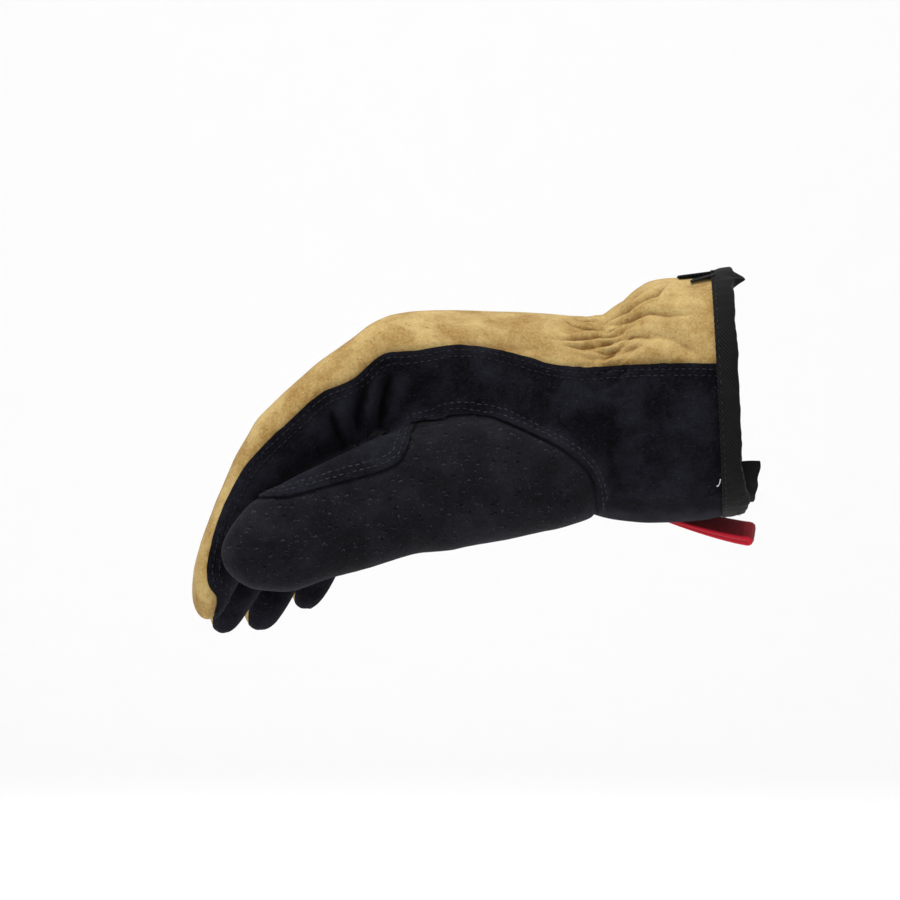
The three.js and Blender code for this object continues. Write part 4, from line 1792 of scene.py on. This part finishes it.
TAN_SUEDE = Suede(
    name="tan_suede",
    dark=srgb(119, 90, 46),
    middle=srgb(139, 115, 70),
    light=srgb(158, 137, 90),
    pore=srgb(86, 56, 22),
    # Painted shade colour of the creases
    fold=srgb(92, 57, 19),
    # Pale specks' colour, also the painted highlight beside the pores
    lint=srgb(205, 182, 130),
    pore_share=0.6,
    pore_cell=3.1,
    pore_size=0.15,
    pore_gap=0.55,
    fuzz=0.06,
    fuzz_tint=(1.0, 0.9, 0.72, 1.0),
)
BLACK_SUEDE = Suede(
    name="black_suede",
    dark=srgb(3, 3, 5),
    middle=srgb(9, 9, 12),
    light=srgb(22, 22, 29),
    pore=srgb(2, 2, 3),
    # Painted shade colour of the creases
    fold=srgb(3, 3, 4),
    # Pale specks' colour, also the painted highlight beside the pores
    lint=srgb(66, 66, 84),
    pore_share=0.25,
    nap=0.34,
    gloss=0.04,
    fuzz=0.02,
    fuzz_tint=(0.8, 0.82, 1.0, 1.0),
)
THUMB_LEATHER = Suede(
    name="thumb_leather",
    dark=srgb(7, 7, 9),
    middle=srgb(13, 13, 16),
    light=srgb(22, 22, 27),
    pore=srgb(1, 1, 1),
    # Painted shade colour of the creases
    fold=srgb(5, 5, 6),
    # Pale specks' colour, also the painted highlight beside the pores
    lint=srgb(86, 86, 100),
    pore_share=1.0,
    pore_cell=4.5,
    pore_size=0.36,
    # Share of the painted highlight beside each pore
    pore_highlight_share=0.4,
    nap=0.28,
    gloss=0.06,
    fuzz=0.02,
    fuzz_tint=(0.85, 0.87, 1.0, 1.0),
    rough=0.85,
)
BLACK_TWILL = Twill("black_twill", srgb(3, 3, 3), srgb(20, 20, 21), 0.85, 45.0, 0.09, gloss=0.07)
LABEL_CLOTH = Twill("label_cloth", srgb(3, 3, 3), srgb(14, 14, 15), 0.45, 0.0, 0.05, gloss=0.07)
# The webbing's edge colour is a painted highlight along its edges
RED_WEBBING = Twill(
    "red_webbing", srgb(84, 8, 16), srgb(126, 18, 30), 0.36, 90.0, 0.04, fuzz=0.12, edge=srgb(158, 22, 38)
)
GREY_THREAD = Thread("grey_thread", srgb(20, 20, 26), srgb(46, 46, 54))
FAINT_THREAD = Thread("faint_thread", srgb(9, 9, 12), srgb(27, 27, 33))
DARK_THREAD = Thread("dark_thread", srgb(14, 14, 16), srgb(36, 36, 40))
PALE_THREAD = Thread("pale_thread", srgb(170, 170, 174), srgb(220, 220, 222))


# The studio


@dataclass
class Studio:
    """A pale floor that curves up behind, soft light and the camera."""

    floor: float = -0.26
    width: float = 5.0
    front: float = -3.0
    back: float = 1.6
    bend: float = 0.8
    height: float = 2.4

    def build(self) -> None:
        """Makes the floor, the lights, the sky and the camera."""
        self._floor()
        self._lights()
        self._camera()
        bpy.context.scene.view_settings.view_transform = "Standard"

    def _floor(self) -> None:
        """Sweeps the floor's front edge back and up the wall."""
        bm = bmesh.new()
        ends = [bm.verts.new((side * self.width / 2, self.front, self.floor)) for side in (-1, 1)]
        edges = [bm.edges.new(ends)]
        turn = [
            (self.back + self.bend * math.sin(a), self.floor + self.bend * (1 - math.cos(a)))
            for a in np.radians(range(0, 91, 6))
        ]
        route = [*turn, (self.back + self.bend, self.floor + self.height)]
        last = Vector((0, self.front, self.floor))
        for y, z in route:
            verts, edges = only_new(bmesh.ops.extrude_edge_only(bm, edges=edges)["geom"])
            bmesh.ops.translate(bm, verts=verts, vec=Vector((0, y, z)) - last)
            last = Vector((0, y, z))
        bmesh.ops.recalc_face_normals(bm, faces=bm.faces)
        floor = object_from(bm, "pale_floor")
        floor.data.materials.append(Backdrop().material())

    def _lights(self) -> None:
        """Hangs large soft lights over, before and beside the glove, in a pale sky."""
        rows = (
            ("over", (-0.25, -0.35, 1.2), 0.9, 24.0),
            ("front", (-0.55, -1.7, 0.75), 1.3, 7.0),
            ("side", (-1.3, -0.9, 0.1), 1.0, 3.6),
        )
        for name, spot, size, power in rows:
            lamp = bpy.data.lights.new(name, "AREA")
            lamp.shape = "DISK"
            lamp.size = size
            lamp.energy = power
            made = bpy.data.objects.new(name, lamp)
            made.location = spot
            aim = GLOVE_MIDDLE - Vector(spot)
            made.rotation_euler = aim.to_track_quat("-Z", "Y").to_euler()
            made.visible_camera = False
            bpy.context.scene.collection.objects.link(made)
        world = bpy.data.worlds.new("pale_sky")
        world.use_nodes = True
        background = world.node_tree.nodes["Background"]
        background.inputs["Color"].default_value = (1, 1, 1, 1)
        background.inputs["Strength"].default_value = 0.72
        bpy.context.scene.world = world

    def _camera(self) -> None:
        """Sets the camera level, square to the glove's near side."""
        lens = bpy.data.cameras.new("camera")
        lens.lens = CAMERA_LENS
        lens.sensor_width = 36
        lens.clip_end = 20
        camera = bpy.data.objects.new("camera", lens)
        camera.location = CAMERA_PLACE
        camera.rotation_euler = (math.pi / 2, 0, 0)
        bpy.context.scene.collection.objects.link(camera)
        bpy.context.scene.camera = camera


def hand_in(made: bpy.types.Object, material: bpy.types.Material, slot: str, *nodes: str) -> None:
    """Finishes a piece: its material, its body and the CAD nodes that it stands for.

    Args:
        made: The piece.
        material: Its finish.
        slot: The record's material slot; not used.
        nodes: The CAD nodes that it replaces.
    """
    made.data.materials.append(material)
    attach(made, "root")
    if nodes:
        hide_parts(*nodes)
    LOG.info("%s: %d faces", made.name, len(made.data.polygons))


def main() -> None:
    """Builds the glove and its studio in order."""
    Studio().build()
    skin = Skin()
    skin.build()
    LOG.info("skin: %d faces", len(skin.surface.faces))

    tan = TAN_SUEDE.material()
    black = BLACK_SUEDE.material()
    thumb = THUMB_LEATHER.material()
    over_thumb = (Leather.THUMB, LAP_OVER_THUMB)
    back = Panel("suede_back", Leather.BACK, tuck=TUCK, dips_under=(Leather.PALM,))
    palm = Panel("suede_palm", Leather.PALM, laps_over=((Leather.BACK, LAP_OVER_BACK), over_thumb))
    outer = Panel("thumb_patch", Leather.THUMB, tuck=TUCK, dips_under=(Leather.PALM, Leather.STRIP))
    strip = Panel("thumb_top_strip", Leather.STRIP, laps_over=(over_thumb,))
    webs = [
        Panel("side_strip_index_middle", Leather.WEB_INDEX, tuck=STRIP_TUCK),
        Panel("side_strip_middle_ring", Leather.WEB_MIDDLE, tuck=STRIP_TUCK),
        Panel("side_strip_ring_little", Leather.WEB_RING, tuck=STRIP_TUCK),
    ]
    for panel, material, slot in (
        (back, tan, "tan_leather"),
        (palm, black, "black_leather"),
        (outer, thumb, "thumb_leather"),
        (strip, black, "black_leather"),
        *((web, black, "black_leather") for web in webs),
    ):
        hand_in(panel.build(skin), material, slot, panel.leather.value)

    for name, panels, other, finish in (
        ("back_seam_stitches", [palm], Leather.BACK, FAINT_THREAD),
        ("thumb_seam_stitches", [palm, strip], Leather.THUMB, GREY_THREAD),
    ):
        sewing = Stitching()
        sewing.add_rows(skin, panels, other, len(name))
        hand_in(sewing.finish(name), finish.material(), "black_leather")

    twill = BLACK_TWILL.material()
    thread = DARK_THREAD.material()
    binding = Binding()
    hand_in(binding.build(), twill, "binding_cloth", "cuff_binding")
    hand_in(binding.stitches(random.Random(11)), thread, "binding_cloth")
    hand_in(LooseThreads().build(), thread, "binding_cloth")
    hand_in(LooseThreads(thick=0.14).lint(), PALE_THREAD.material(), "binding_cloth")

    top_leaf = CuffPlate("cuff_tab_upper", 80, 104, -5.0, -18.4, 0.25, 1.0, flatness=0.9)
    low_leaf = CuffPlate("cuff_tab_lower", 88, 112, -5.0, -14.0, 0.3, 0.4, flatness=0.5, droop=1.3)
    hand_in(top_leaf.dress(top_leaf.build()), twill, "binding_cloth", "cuff_tab")
    hand_in(low_leaf.dress(low_leaf.build()), twill, "binding_cloth")
    label = CuffPlate(
        "inner_label_cloth", 216.5, 260, -9, 7.2, -4.9, 0.8, droop=2.2, slant=-3.0, wavy=0.35
    )
    hand_in(label.dress(label.build()), LABEL_CLOTH.material(), "label_cloth", "inner_label")
    hand_in(PullLoop().build(), RED_WEBBING.material(), "red_webbing", "pull_loop")


if __name__ == "__main__":
    logging.basicConfig(level=logging.INFO, format="%(name)s: %(message)s")
    main()
